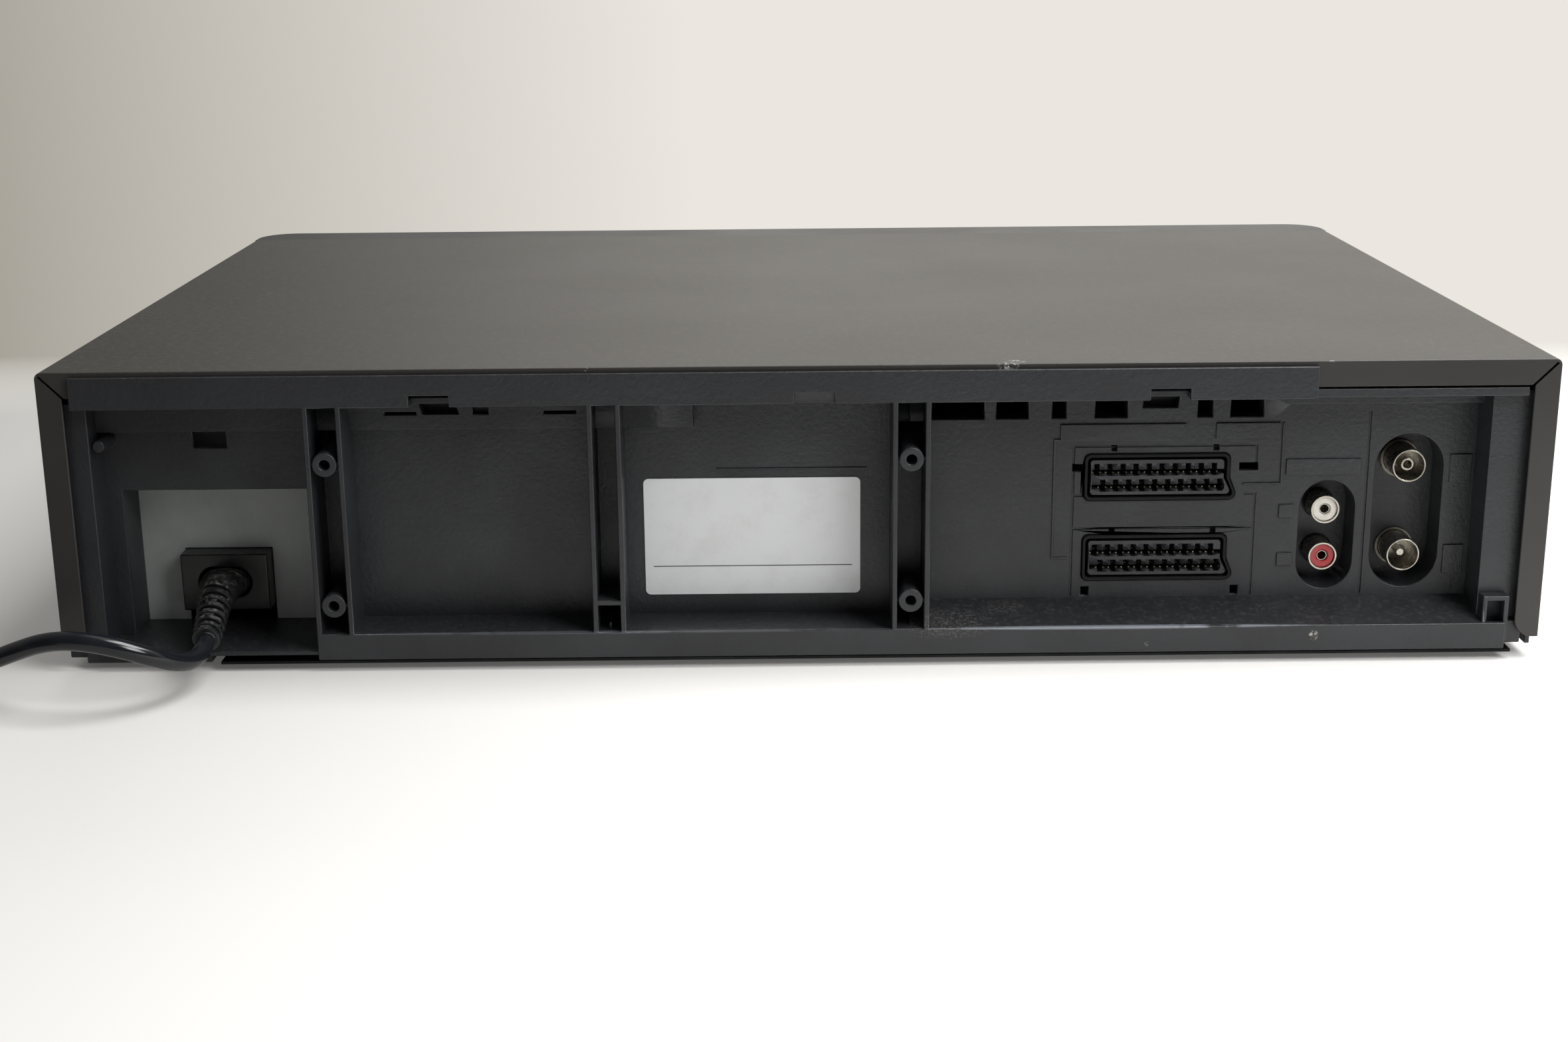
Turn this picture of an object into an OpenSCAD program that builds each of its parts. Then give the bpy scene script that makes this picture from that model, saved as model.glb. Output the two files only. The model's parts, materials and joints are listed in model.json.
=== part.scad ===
// Video cassette recorder, seen best from behind.
// Millimetres. The origin is on the table under the middle of the cabinet.
// +Z is up, the front panel faces -Y and the socket panel faces +Y.

/* [Cabinet] */
// Width over the steel cover
body_w = 430; // [420:1:520]
// Height from the table to the top of the cover
body_h = 89; // [87:1:110]
// Depth from the faces of the buttons to the rail on the socket panel
body_d = 286; // [280:1:350]
// Thickness of the steel sheet in the cover and the bottom plate
sheet_t = 0.8; // [0.6:0.1:1.2]
// Height of the rubber feet
foot_h = 2.2; // [1.5:0.1:4]
// Height of the cover's rear flange
flange_h = 7.6; // [6:0.1:9]
// Lower edge of the cover's sides above the table
skirt_z = 6.5; // [5:0.1:9]
// Gap between pieces that meet without moving
fit_gap = 0.3; // [0.2:0.05:0.4]

/* [Socket panel] */
// Depth of the bays behind the rear plane
bay_depth = 17; // [14:0.5:20]
// Thickness of the panel's walls
wall_t = 2; // [1.6:0.1:2.6]
// Thickness of the ribs and tower walls
rib_t = 1.5; // [1.2:0.1:2]
// Thickness of the rail that hooks over the cover
rail_t = 1.6; // [1.4:0.1:2.2]
// Height of the rail
rail_h = 9.3; // [8:0.1:10]
// Height of the bar along the foot of the panel
bar_h = 7.8; // [6:0.1:9]
// Width of a screw tower
tower_w = 10.8; // [10:0.1:14]
// Diameter of a screw boss
boss_d = 7; // [6:0.1:8]
// Diameter of the hole in a screw boss
boss_hole_d = 3; // [2.4:0.1:3.6]
// Distance between the two screw towers
boss_pitch_x = 166.7; // [150:0.1:175]
// Distance between the two bosses of a tower
boss_pitch_z = 42; // [36:0.5:46]

/* [Sockets] */
// Width of a video socket's shell
scart_w = 44; // [42:0.1:47]
// Height of a video socket's shell
scart_h = 13.6; // [13:0.1:15]
// Pitch of the contacts in a row
contact_pitch = 3.81; // [3.7:0.01:3.9]
// Height between the two video sockets
scart_pitch_z = 24.5; // [22:0.1:26]
// Outer diameter of a phono socket's shell
phono_d = 8.3; // [8:0.1:8.6]
// Distance between the phono sockets
phono_pitch_z = 14.3; // [13:0.1:16]
// Outer diameter of the aerial sockets' barrels
aerial_d = 9.8; // [9.2:0.1:10.4]
// Distance between the aerial sockets
aerial_pitch_z = 27.1; // [24:0.1:30]

/* [Cassette and lift] */
// Width of a cassette
cassette_w = 188; // [186:0.5:190]
// Depth of a cassette
cassette_d = 104; // [102:0.5:106]
// Height of a cassette
cassette_h = 25; // [24:0.5:26]
// How far the tray travels back
tray_in = 47; // [40:1:50]
// How far the tray travels down
tray_drop = 22; // [20:0.5:24]
// Diameter of the head drum
drum_d = 62; // [58:0.5:64]
// Tilt of the head drum
drum_tilt = 6; // [4:0.5:7]
// Distance between the reel spindles
reel_pitch = 92; // [90:0.5:94]

/* [Controls] */
// Depth of the front panel moulding
fascia_d = 20; // [18:0.5:24]
// Radius of the front panel's corners, seen from above
fascia_r = 14; // [8:0.5:18]
// Width of a transport button
button_w = 22; // [18:0.5:23]
// Distance between the transport buttons
button_pitch = 26; // [25:0.5:27]
// How far a button travels
button_travel = 0.8; // [0.5:0.1:1.2]
// Height of a button's cap above the face
button_proud = 1.2; // [1:0.1:1.6]

/* [Mains lead] */
// Diameter of the lead
cord_d = 5.4; // [5:0.1:6]

/* [Hidden] */
$fn = 48;
eps = 0.01;
half_w = body_w / 2;
rear_y = body_d / 2;
front_y = -body_d / 2 + button_proud;

// The steel cover
cover_rear_y = rear_y - rail_t;
cover_front_y = front_y + fascia_d + fit_gap;
bend_r = 2;
mitre_gap = 0.7;
skirt_corner_r = 5.5;

// The bottom plate and the frame that stands on it
plate_top_z = foot_h + sheet_t;
frame_z = plate_top_z + fit_gap;
frame_t = 1.8;
frame_x = half_w - sheet_t - fit_gap;

// The socket panel
panel_x = frame_x;
wall_y = rear_y - bay_depth;
wall_in_y = wall_y - wall_t;
bar_z = 3.5;
ledge_z = bar_z + bar_h;
shelf_z = body_h - sheet_t - fit_gap - rail_h - 0.3;
rail_x = [-146.3, 205.5];
power_x = [139, half_w - 12.5];
right_end_x = -(half_w - 17.5);
tower_x = [134.9, 134.9 - boss_pitch_x];
rib_x = 55.4;
rib_gap = 9.5;
bay_mid_z = (shelf_z + ledge_z) / 2;
strip_z = shelf_z - 9.3;
strip_d = 4.5;
boss_z = [bay_mid_z - 3.9 - boss_pitch_z / 2, bay_mid_z - 3.9 + boss_pitch_z / 2];
line_h = 0.45;

// Sockets on the panel
scart_x = -105.6;
scart_z = [bay_mid_z + 7.0 - scart_pitch_z, bay_mid_z + 7.0];
scart_slant = 1.8;
scart_wall = 0.7;
scart_channel = 0.9;
scart_proud = 0.8;
scart_face_y = wall_y + scart_proud - 0.3;
scart_body_d = 14;
// rows of contacts: lower side of the slit, middle of the slots, and their shift along X
scart_rows = [[-3.55, -2.45, -0.4], [0.95, 2.3, 1.4]];
scart_slit_h = 1.4;
scart_slot = [1.6, 3.7];
scart_slot_d = 9;
contact_count = 10;
phono_x = -155.2;
phono_z = [bay_mid_z - 18.3, bay_mid_z - 18.3 + phono_pitch_z];
aerial_x = -178.6;
aerial_z = [bay_mid_z - 17.6, bay_mid_z - 17.6 + aerial_pitch_z];
recess_y = wall_y - 12;
recess_t = 1.2;
phono_face_y = recess_y + 10.3;
aerial_face_y = recess_y + 12;
inlet_x = 172.4;
inlet_w = 26;
inlet_z = [11, 28.5];
inlet_face_y = rear_y - 25;
insulation_y = rear_y - 32;
label_w = 63.5;
label_h = 35.4;
label_x = 13.9;
label_z = bay_mid_z - 9.8;

// The cassette lift, its tray and the deck under it
lift_x = -62;
deck_z = 14;
deck_t = 1.2;
deck_top = deck_z + deck_t;
deck_x = [lift_x - 106, lift_x + 106];
deck_y = [front_y + 30, rear_y - 38];
tray_t = 1;
tray_w = cassette_w + 2 + 2 * tray_t;
tray_h = cassette_h + 2 + 2 * tray_t;
tray_d = cassette_d - 8;
tray_y = front_y + 35;
tray_z = body_h - 37;
slider_t = 1;
slide_gap = 0.3;
slider_x = tray_w / 2 + slide_gap;
side_t = 1.2;
side_x = slider_x + slider_t + slide_gap;
pin_r = 1.5;
pin_y = [tray_y + 16, tray_y + 76];
pin_z = tray_z + 12;
slot_gap = 0.25;
slot_w = cassette_w + 6;
slot_z = [tray_z - 1.5, tray_z + tray_h - 0.5];

// The tape mechanism
loaded_y = tray_y + tray_in;
reel_y = loaded_y + tray_d / 2 + 1;
reel_x = [lift_x - reel_pitch / 2, lift_x + reel_pitch / 2];
reel_r = 27;
drum_y = loaded_y + tray_d + 6 + drum_d / 2;
drum_h = 21;
drum_low = 9;
drum_split = 0.4;
guide_slot_w = 3.4;
capstan_x = lift_x + 58;
capstan_y = drum_y - 24;
capstan_r = 1.75;
capstan_top = deck_top + 34;
bearing_h = 5.2;
rotor_r = 27;
pinch_pivot = [capstan_x + 17, capstan_y + 26];
pinch_r = 6.5;
pinch_arm_l = 24;
pinch_rest = 268;
idler_pivot = [lift_x, reel_y + 26];
idler_arm_l = 20;
idler_r = 14.2;
cam_x = lift_x - 82;
cam_y = drum_y + 2;
cam_r = 17;
cam_teeth = 36;
worm_r = 4;

// The front panel
fascia_t = 2.6;
fascia_z = [4.5, body_h - 0.3];
window_x = [52, half_w - 22];
window_z = [slot_z[0], slot_z[1]];
door_gap = 0.4;
door_t = 2.4;
door_pin_r = 1.5;
door_axis_y = front_y + 4.4;
door_knuckle_r = 2.3;
door_axis_z = slot_z[1] - 2.6;
button_h = 9;
button_gap = 0.35;
flange_gap = 0.25;
board_y = front_y + 12;
board_t = 1.6;
switch_h = 3.5;
transport_z = 28;
transport_x = [for (k = [0 : 4]) 62 + k * button_pitch];
power_button_x = -(half_w - 27);
power_button_z = 66;
eject_button_z = 42;
rocker_x = 192;
rocker_w = 14;
rocker_h = 22;
rocker_pin_r = 1.1;
rocker_axis_y = front_y + 4.4;

// The mains lead: from the inlet's connector to the coil beside the cabinet
cord_r = cord_d / 2;
boot_start = [172, rear_y - 17, 19.8];
boot_end = [171.4, rear_y + 5, 11.2];
boot_r0 = 5.4;
boot_r1 = 3.9;
boot_ribs = 6;
connector_y = inlet_face_y - 10;
lead_route = [
  [171.4, 148, 11.2], [171.2, 154, 10.0], [172.1, 161.2, 10.3], [174.7, 168.3, 12.5],
  [179.4, 174.0, 16.0], [185.9, 177.4, 19.4], [193.4, 178.6, 21.6], [201.2, 177.8, 22.0],
  [209.1, 175.0, 20.3], [217.3, 170.8, 16.8], [225.9, 166.2, 12.7], [234.7, 162.1, 8.8],
  [243.5, 159.2, 5.9], [252, 158, 4.4], [260, 158, 4.0], [268, 158, 4.0], [274, 158, 4.0]
];

// The coil of the lead's spare length, with its tie and the plug
tie_t = 1;
coil_gap = 0.5;
coil_pitch = cord_d + coil_gap;
coil_lift = tie_t + 0.3 + cord_r;
coil_step = cord_d + coil_gap;
coil_turns = 3.25;
coil_mid_r = 31.4;
coil_out_r = coil_mid_r + coil_pitch * coil_turns / 2;
coil_in_r = coil_mid_r - coil_pitch * coil_turns / 2;
coil_start = [280, 158];
coil_middle = [coil_start[0], coil_start[1] + coil_out_r];
coil_rings = 24;
coil_dip = coil_pitch / (2 * PI);
tail_len = 40;
plug_body = [34, 35.3, 13.7];
plug_z = plug_body[2] / 2;
plug_pin_r = 2;
plug_pin_l = 19;
plug_pin_pitch = 18.6;

// A box from ranges along X, Y and Z
module block(x, y, z) {
  translate([min(x), min(y), min(z)])
    cube([abs(x[1] - x[0]), abs(y[1] - y[0]), abs(z[1] - z[0])]);
}

// Extrudes an outline drawn in X and Z along Y
module along_y(y) {
  translate([0, y[1], 0])
    rotate([90, 0, 0])
      linear_extrude(y[1] - y[0])
        children();
}

// A round bar along Y
module bar_y(r, x, z, y) {
  translate([x, y[0], z])
    rotate([-90, 0, 0])
      cylinder(r = r, h = y[1] - y[0]);
}

// A round bar along X
module bar_x(r, x, y, z) {
  translate([x[0], y, z])
    rotate([0, 90, 0])
      cylinder(r = r, h = x[1] - x[0]);
}

// An upright obround across Y, given by its middle and size
module obround_y(x, z, w, h, y) {
  for (s = [-1, 1])
    bar_y(w / 2, x, z + s * (h - w) / 2, y);
  block([x - w / 2, x + w / 2], y, [z - (h - w) / 2, z + (h - w) / 2]);
}

// A rectangle with four round corners, centred, in the plane
module round_rect(w, h, r) {
  square([w - 2 * r, h], center = true);
  square([w, h - 2 * r], center = true);
  for (x = [-1, 1], y = [-1, 1])
    translate([x * (w / 2 - r), y * (h / 2 - r)])
      circle(r);
}

// Outline of the cover, seen from behind, inset by a distance
module cover_outline(inset, z0) {
  w = half_w - inset;
  top = body_h - inset;
  r = bend_r - inset;
  translate([-w, z0])
    square([2 * w, top - r - z0]);
  translate([-w + r, z0])
    square([2 * (w - r), top - z0]);
  for (s = [-1, 1])
    translate([s * (w - r), top - r])
      circle(r);
}

// One mitred half of the cover's rear flanges: across the top or down a side
module top_flange_outline() {
  g = mitre_gap * 0.7;
  polygon([
    [-half_w + g, body_h], [half_w - g, body_h],
    [half_w - flange_h - g, body_h - flange_h], [-half_w + flange_h + g, body_h - flange_h]
  ]);
}

module side_flange_outline() {
  g = mitre_gap * 0.7;
  r = skirt_corner_r;
  inner = half_w - flange_h + 0.4;
  difference() {
    polygon([
      [half_w, body_h - g], [half_w, skirt_z], [inner, skirt_z],
      [inner, body_h - flange_h - g + 0.4]
    ]);
    difference() {
      translate([inner - 1, skirt_z - 1])
        square([r + 1, r + 1]);
      translate([inner + r, skirt_z + r])
        circle(r);
    }
  }
}

// Places of the cover's side screws
cover_screw_y = [cover_front_y + 22, rear_y - 45];
cover_screw_z = 17;
cover_screw_r = 1.9;

// Folded steel cover: top, sides and mitred rear flanges
module top_cover() {
  color([0.26, 0.25, 0.24])
    difference() {
      union() {
        along_y([cover_front_y, cover_rear_y])
          difference() {
            cover_outline(0, skirt_z);
            cover_outline(sheet_t, skirt_z - 1);
          }
        along_y([cover_rear_y - sheet_t, cover_rear_y])
          intersection() {
            cover_outline(0, skirt_z);
            union() {
              top_flange_outline();
              side_flange_outline();
              mirror([1, 0])
                side_flange_outline();
            }
          }
      }
      for (y = cover_screw_y)
        bar_x(cover_screw_r, [-half_w - 1, half_w + 1], y, cover_screw_z);
    }
}

// A screw tower: two walls, a foot, and two bosses on thin webs
module tower(x) {
  w = tower_w / 2;
  for (s = [-1, 1])
    block([x + s * w, x + s * (w - rib_t)], [wall_in_y, rear_y], [ledge_z - 2, shelf_z + 1]);
  block([x - w, x + w], [wall_in_y, rear_y], [ledge_z - 2, ledge_z - 2 + rib_t]);
  for (z = boss_z) {
    bar_y(boss_d / 2, x, z, [wall_in_y, rear_y]);
    block([x - w, x + w], [wall_in_y, rear_y - 1], [z - 0.5, z + 0.5]);
  }
}

// Openings of a tower: the boss holes and two windows in its back
module tower_holes(x) {
  w = tower_w / 2 - rib_t;
  for (z = boss_z)
    bar_y(boss_hole_d / 2, x, z, [wall_in_y - 1, rear_y + 1]);
  block([x - w, x + w], [wall_in_y - 1, wall_y + eps], [boss_z[1] + boss_d / 2 + 0.4, strip_z]);
  block([x - w, x + w], [wall_in_y - 1, wall_y + eps], [ledge_z - 2 + rib_t, boss_z[0] - boss_d / 2 - 0.4]);
}

// A pair of plain ribs with a cross piece and a tooth near the foot
module rib_pair() {
  for (s = [-1, 1])
    block([rib_x + s * rib_gap / 2, rib_x + s * (rib_gap / 2 - rib_t)], [wall_in_y, rear_y],
      [ledge_z - 1, shelf_z + 1]);
  block([rib_x - rib_gap / 2, rib_x + rib_gap / 2], [wall_in_y, rear_y], [ledge_z + 8, ledge_z + 9.5]);
  block([rib_x - 0.4, rib_x + 0.4], [wall_y, rear_y - 3], [ledge_z - 1, ledge_z + 2]);
}

// A pocket in the rail and the strip behind it, where a cable cover hooks in
module hook_pocket(x, lean) {
  block([x - 5.6, x + 5.6], [rear_y - 5, rear_y + 1], [shelf_z - 1, shelf_z + 3.3]);
  along_y([wall_y - 1, rear_y - 5 + eps])
    polygon([
      [x - 5.2, shelf_z - 0.5], [x + 5.2, shelf_z - 0.5],
      [x + 4.6 + lean, shelf_z - 4.8], [x - 5.4 + lean, shelf_z - 4.8]
    ]);
}

// Raised bare plates beside the sockets, as [x0, x1, z0, z1]; heights are from the bay's middle
blank_plates = [
  [-76.2, -112.6, 18.2, 23.1], [-121.4, -140.3, 18.2, 23.1], [-142.4, -164.3, 7.1, 12.0],
  [-140.9, -145.3, -5.8, -1.7], [-141.0, -145.6, -20.6, -16.5],
  [-190.3, -196.7, 4.4, 13.1], [-190.2, -196.2, -23.3, -14.4]
];

// Raised lines that group the sockets
group_lines = [
  [-74.8, -112.6, 18.0, 18.7], [-74.2, -74.9, -17.9, 18.7], [-74.2, -79.5, -17.9, -17.2],
  [-140.8, -141.5, 4.3, 23.1], [-130.0, -141.5, 4.3, 5.0]
];

// Fine grooves: the outline of the video sockets' carrier and the divider
grooves = [
  [-79.9, -80.5, 1.6, 16.6], [-79.9, -134.0, 16.0, 16.6], [-133.4, -134.0, 8.8, 16.6],
  [-79.9, -80.5, -29.2, 1.5], [-79.9, -83.2, 1.2, 1.8], [-82.6, -83.2, 1.2, 8.6],
  [-130.6, -134.2, 1.2, 1.8], [-133.5, -134.1, -29.2, 1.5], [-79.9, -134.0, -8.9, -8.3],
  [-166.0, -166.6, -29.2, 26]
];

// Small through slots round the video sockets' carrier
carrier_slots = [
  [-79.9, -83.0, 8.7, 11.0], [-128.8, -134.3, 8.7, 11.0],
  [-91.2, -92.8, 14.8, 16.6], [-121.0, -122.6, 14.8, 16.6],
  [-91.2, -92.8, -10.2, -8.4], [-121.0, -122.6, -10.2, -8.4],
  [-83.4, -85.6, -29.2, -26.6], [-127.8, -130.0, -29.2, -26.6]
];

// Wall blocks from a table of rectangles, each [x0, x1, z0, z1] about the bay's middle
module wall_blocks(table, y) {
  for (t = table)
    block([t[0], t[1]], y, [bay_mid_z + t[2], bay_mid_z + t[3]]);
}

// Openings through the strip above the socket bay
strip_openings = [[-38.3, -53.4], [-56.9, -66.1], [-73.0, -77.0], [-85.4, -94.7], [-115.0, -119.3],
  [-124.5, -134.0]];

// Outline of a video socket's shell: a rectangle with one leaning end
function arc_points(c, r, a) = [for (k = [0 : 3]) c + r * [cos(a + 30 * k), sin(a + 30 * k)]];
module scart_outline(grow) {
  w = scart_w / 2 + grow;
  h = scart_h / 2 + grow;
  r = 1.6 + grow / 2;
  polygon(concat(
    arc_points([w - r, h - r], r, 0),
    arc_points([-w + scart_slant + r, h - r], r, 90),
    [[-w + scart_slant, -0.4], [-w, -h + r + 0.4]],
    arc_points([-w + r, -h + r], r, 180),
    arc_points([w - r, -h + r], r, 270)
  ));
}

function contact_x(k) = (contact_count / 2 - 0.5 - k) * contact_pitch;
module at_scart(z) {
  translate([scart_x, 0, z])
    children();
}

// Moulded socket panel with its bays, towers, rail and ledges
module rear_panel() {
  side_y = cover_rear_y - sheet_t - fit_gap;
  color([0.11, 0.11, 0.12])
    difference() {
      union() {
        // back wall, and the raised strip along its top
        block([-panel_x, panel_x], [wall_in_y, wall_y], [frame_z, shelf_z + 1]);
        block([30.5, power_x[1]], [wall_y - eps, wall_y + strip_d], [strip_z, shelf_z + 1]);
        block([-137, tower_x[1]], [wall_y - eps, wall_y + strip_d], [strip_z + 1, shelf_z + 1]);
        along_y([wall_y - eps, wall_y + strip_d])
          polygon([
            [-137 + eps, strip_z + 1], [-137 + eps, shelf_z + 1], [right_end_x, shelf_z + 1],
            [right_end_x, strip_z + 5], [-141.5, strip_z + 5]
          ]);
        // shelf over the bays, and the rail that stands in front of the cover
        block([-(half_w - 8.6), half_w - 8.6], [wall_in_y, side_y], [shelf_z, shelf_z + wall_t]);
        block(rail_x, [side_y - eps, rear_y], [shelf_z, shelf_z + wall_t]);
        block(rail_x, [cover_rear_y + 0.2, rear_y], [shelf_z, shelf_z + rail_h]);
        block([rail_x[0] + eps, -(half_w - 8.6)], [side_y - 1, cover_rear_y],
          [shelf_z, body_h - flange_h - 0.6]);
        // bar along the foot and the ledges behind it
        block([right_end_x - 7.2, tower_x[0] + tower_w / 2], [rear_y - wall_t, rear_y], [bar_z, ledge_z]);
        block([tower_x[1], tower_x[0] + tower_w / 2], [wall_in_y, rear_y], [ledge_z - wall_t, ledge_z]);
        translate([right_end_x - 1.5, 0, 0])
          rotate([90, 0, 90])
            linear_extrude(tower_x[1] - right_end_x + 1.5)
              polygon([
                [wall_in_y, ledge_z + 4.2], [rear_y - 1, ledge_z], [rear_y, ledge_z - 1],
                [rear_y, ledge_z - 2.4], [wall_in_y, ledge_z + 2.2]
              ]);
        // towers and ribs
        for (x = tower_x)
          tower(x);
        rib_pair();
        // ends of the panel
        block([power_x[1], power_x[1] + rib_t], [wall_in_y, rear_y - 5], [frame_z, shelf_z + 1]);
        block([power_x[1], panel_x], [rear_y - 7, rear_y - 5], [frame_z, shelf_z + 1]);
        block([panel_x - rib_t, panel_x], [wall_in_y, rear_y - 5], [frame_z, shelf_z + 1]);
        block([right_end_x, right_end_x - rib_t], [wall_in_y, rear_y - 5], [ledge_z - 3, shelf_z + 1]);
        block([right_end_x, -panel_x], [rear_y - 7, rear_y - 5], [ledge_z - 3, shelf_z + 1]);
        block([-panel_x, -panel_x + rib_t], [wall_in_y, rear_y - 5], [frame_z, shelf_z + 1]);
        block([right_end_x - 7.2, -(half_w - 4.8)], [rear_y - wall_t - 3, rear_y - 3],
          [bar_z + 0.8, ledge_z]);
        // floor and left foot of the power bay
        block([tower_x[0], power_x[1] + 1], [rear_y - 33, rear_y - 1], [frame_z + 1.4, frame_z + 2.8]);
        block([half_w - 43, half_w - 6.5], [rear_y - 9, rear_y - 3], [foot_h, frame_z + 2.8]);
        // arch at the right end of the foot, and the pegs above
        difference() {
          block([right_end_x - 0.5, right_end_x - 8.1], [wall_y, rear_y - 1], [bar_z + 1.7, ledge_z + 7.8]);
          block([right_end_x - 1.9, right_end_x - 6.7], [wall_y - 1, rear_y], [bar_z + 3, ledge_z + 6.4]);
        }
        block([right_end_x - 3.9, right_end_x - 4.7], [wall_y + 6, rear_y - 3], [bar_z + 1.7, bar_z + 4.6]);
        for (x = [right_end_x - 4.6, power_x[1] - 2.2])
          bar_y(1.7, x, strip_z - 2.6, [wall_y - eps, rear_y - 6]);
        // raised plates and lines by the sockets
        wall_blocks(blank_plates, [wall_y - eps, wall_y + line_h + 0.15]);
        wall_blocks(group_lines, [wall_y - eps, wall_y + line_h]);
        block([label_x - 33.7, label_x + 10.3], [wall_y - eps, wall_y + 0.4],
          [bay_mid_z + 10.4, bay_mid_z + 10.9]);
        // walls of the two oblong recesses
        obround_y(phono_x, phono_z[0] + phono_pitch_z / 2, 19.4, 36, [recess_y, wall_y]);
        obround_y(aerial_x, aerial_z[0] + aerial_pitch_z / 2, 23, 49.6, [recess_y, wall_y]);
        // collar behind the power bay's window
        block([power_x[0] + 1, power_x[1]], [insulation_y, wall_y], [frame_z + 1.4, bay_mid_z + 8.2]);
      }
      for (x = tower_x)
        tower_holes(x);
      hook_pocket(104.4, -1);
      hook_pocket(-104.7, 1);
      block([-10, 1.4], [rear_y - 1.2, rear_y + 1], [shelf_z - 1, shelf_z + 3.2]);
      // slots in the strip over the two middle bays
      for (x = [[110.2, 119.2], [64.2, 73.4]])
        block(x, [wall_in_y - 1, wall_y + strip_d + 1], [shelf_z - 4.8, shelf_z - 4]);
      block([89.5, 93.7], [wall_y + 1.5, wall_y + strip_d + 1], [shelf_z - 4.8, shelf_z - eps]);
      for (x = strip_openings)
        block(x, [wall_in_y - 1, wall_y + strip_d + 1], [strip_z + 1.6, shelf_z - 1.4]);
      // foot of the rib pair
      block([rib_x - rib_gap / 2 + rib_t, rib_x + rib_gap / 2 - rib_t], [wall_in_y - 1, wall_y + eps],
        [ledge_z + 0.4, ledge_z + 8]);
      // grooves and slots round the video sockets
      wall_blocks(grooves, [wall_y - line_h, wall_y + 1]);
      wall_blocks(carrier_slots, [wall_in_y - 1, wall_y + 1]);
      for (z = scart_z)
        at_scart(z)
          along_y([wall_in_y - 1, wall_y + 1])
            scart_outline(0.25);
      // recesses for the phono and aerial sockets
      obround_y(phono_x, phono_z[0] + phono_pitch_z / 2, 16.4, 33, [recess_y + recess_t, wall_y + 1]);
      obround_y(aerial_x, aerial_z[0] + aerial_pitch_z / 2, 20, 46.6, [recess_y + recess_t, wall_y + 1]);
      for (z = phono_z)
        bar_y(phono_d / 2 + 0.3, phono_x, z, [recess_y - 1, wall_y]);
      for (z = aerial_z)
        bar_y(aerial_d / 2 + 0.3, aerial_x, z, [recess_y - 1, wall_y]);
      // window of the power bay and the small hole above it
      block([power_x[0] + 2.5, power_x[1] - 4.5], [insulation_y - 1, wall_y + 1],
        [frame_z + 2.8, bay_mid_z + 5.8]);
      block([166.6, 176.2], [wall_in_y - 1, wall_y + 1], [strip_z - 5.8, strip_z - 0.5]);
    }
}

// A rectangular opening in the front panel, cut from the face to behind its wall
module face_hole(x, z, w, h) {
  block([x - w / 2, x + w / 2], [front_y - 1, front_y + fascia_t + 1], [z - h / 2, z + h / 2]);
}

// Outline of the front panel from above, inset by a distance
module fascia_outline(inset) {
  w = half_w - 0.1 - inset;
  r = fascia_r - inset;
  y0 = front_y + inset;
  translate([-w, y0 + r])
    square([2 * w, fascia_d + 1 - r - inset]);
  translate([-w + r, y0])
    square([2 * (w - r), r + 1]);
  for (s = [-1, 1])
    translate([s * (w - r), y0 + r])
      circle(r);
}

// Ears with a bore for a pin along X
module pin_ears(x, y, z, half_span, ear_w, r, size) {
  for (s = [-1, 1])
    difference() {
      block([x + s * half_span, x + s * (half_span + ear_w)], [front_y + fascia_t - eps, y + size],
        [z - size, z + size]);
      bar_x(r, [x - half_span - ear_w - 1, x + half_span + ear_w + 1], y, z);
    }
}

// Front panel with the cassette slot, the window and the button openings
module front_panel() {
  y_back = front_y + fascia_d;
  color([0.10, 0.10, 0.11])
    union() {
      difference() {
        translate([0, 0, fascia_z[0]])
          linear_extrude(fascia_z[1] - fascia_z[0])
            fascia_outline(0);
        translate([0, 0, fascia_z[0] + fascia_t])
          linear_extrude(fascia_z[1] - fascia_z[0] - 2 * fascia_t)
            intersection() {
              fascia_outline(fascia_t);
              translate([-half_w, front_y])
                square([body_w, fascia_d + 2]);
            }
        block([-half_w, half_w], [y_back, y_back + body_d / 2], [0, body_h]);
        face_hole(lift_x, (slot_z[0] + slot_z[1]) / 2, slot_w, slot_z[1] - slot_z[0]);
        face_hole((window_x[0] + window_x[1]) / 2, (window_z[0] + window_z[1]) / 2,
          window_x[1] - window_x[0], window_z[1] - window_z[0]);
        for (x = transport_x)
          face_hole(x, transport_z, button_w + 2 * button_gap, button_h + 2 * button_gap);
        for (z = [power_button_z, eject_button_z])
          face_hole(power_button_x, z, button_w + 2 * button_gap, button_h + 2 * button_gap);
        face_hole(rocker_x, transport_z, rocker_w + 2 * button_gap, rocker_h + 1.6);
        // a moulded line along the face
        block([-half_w, half_w], [front_y - 1, front_y + 0.6], [fascia_z[0] + 12, fascia_z[0] + 12.8]);
      }
      pin_ears(lift_x, door_axis_y, door_axis_z, slot_w / 2 + 0.2, 3, door_pin_r + 0.05, 3);
      pin_ears(rocker_x, rocker_axis_y, transport_z, rocker_w / 2 + 0.6, 2.4, rocker_pin_r + 0.05, 2.6);
    }
}

// Smoked window in front of the display
module display_window() {
  g = fit_gap;
  color([0.05, 0.05, 0.07]) {
    block([window_x[0] + g, window_x[1] - g], [front_y, front_y + fascia_t + 0.1],
      [window_z[0] + g, window_z[1] - g]);
    block([window_x[0] - 2, window_x[1] + 2], [front_y + fascia_t, front_y + fascia_t + 1],
      [window_z[0] - 2, window_z[1] + 2]);
  }
}

// Glass display tube between the window and the front board
module display_tube() {
  x = [window_x[0] + 20, window_x[1] - 40];
  color([0.25, 0.32, 0.32])
    difference() {
      block(x, [board_y - 6, board_y], [window_z[0] + 5, window_z[1] - 5]);
      block([x[0] + 3, x[1] - 3], [board_y - 7, board_y - 5.4], [window_z[0] + 8, window_z[1] - 8]);
    }
}

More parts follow.
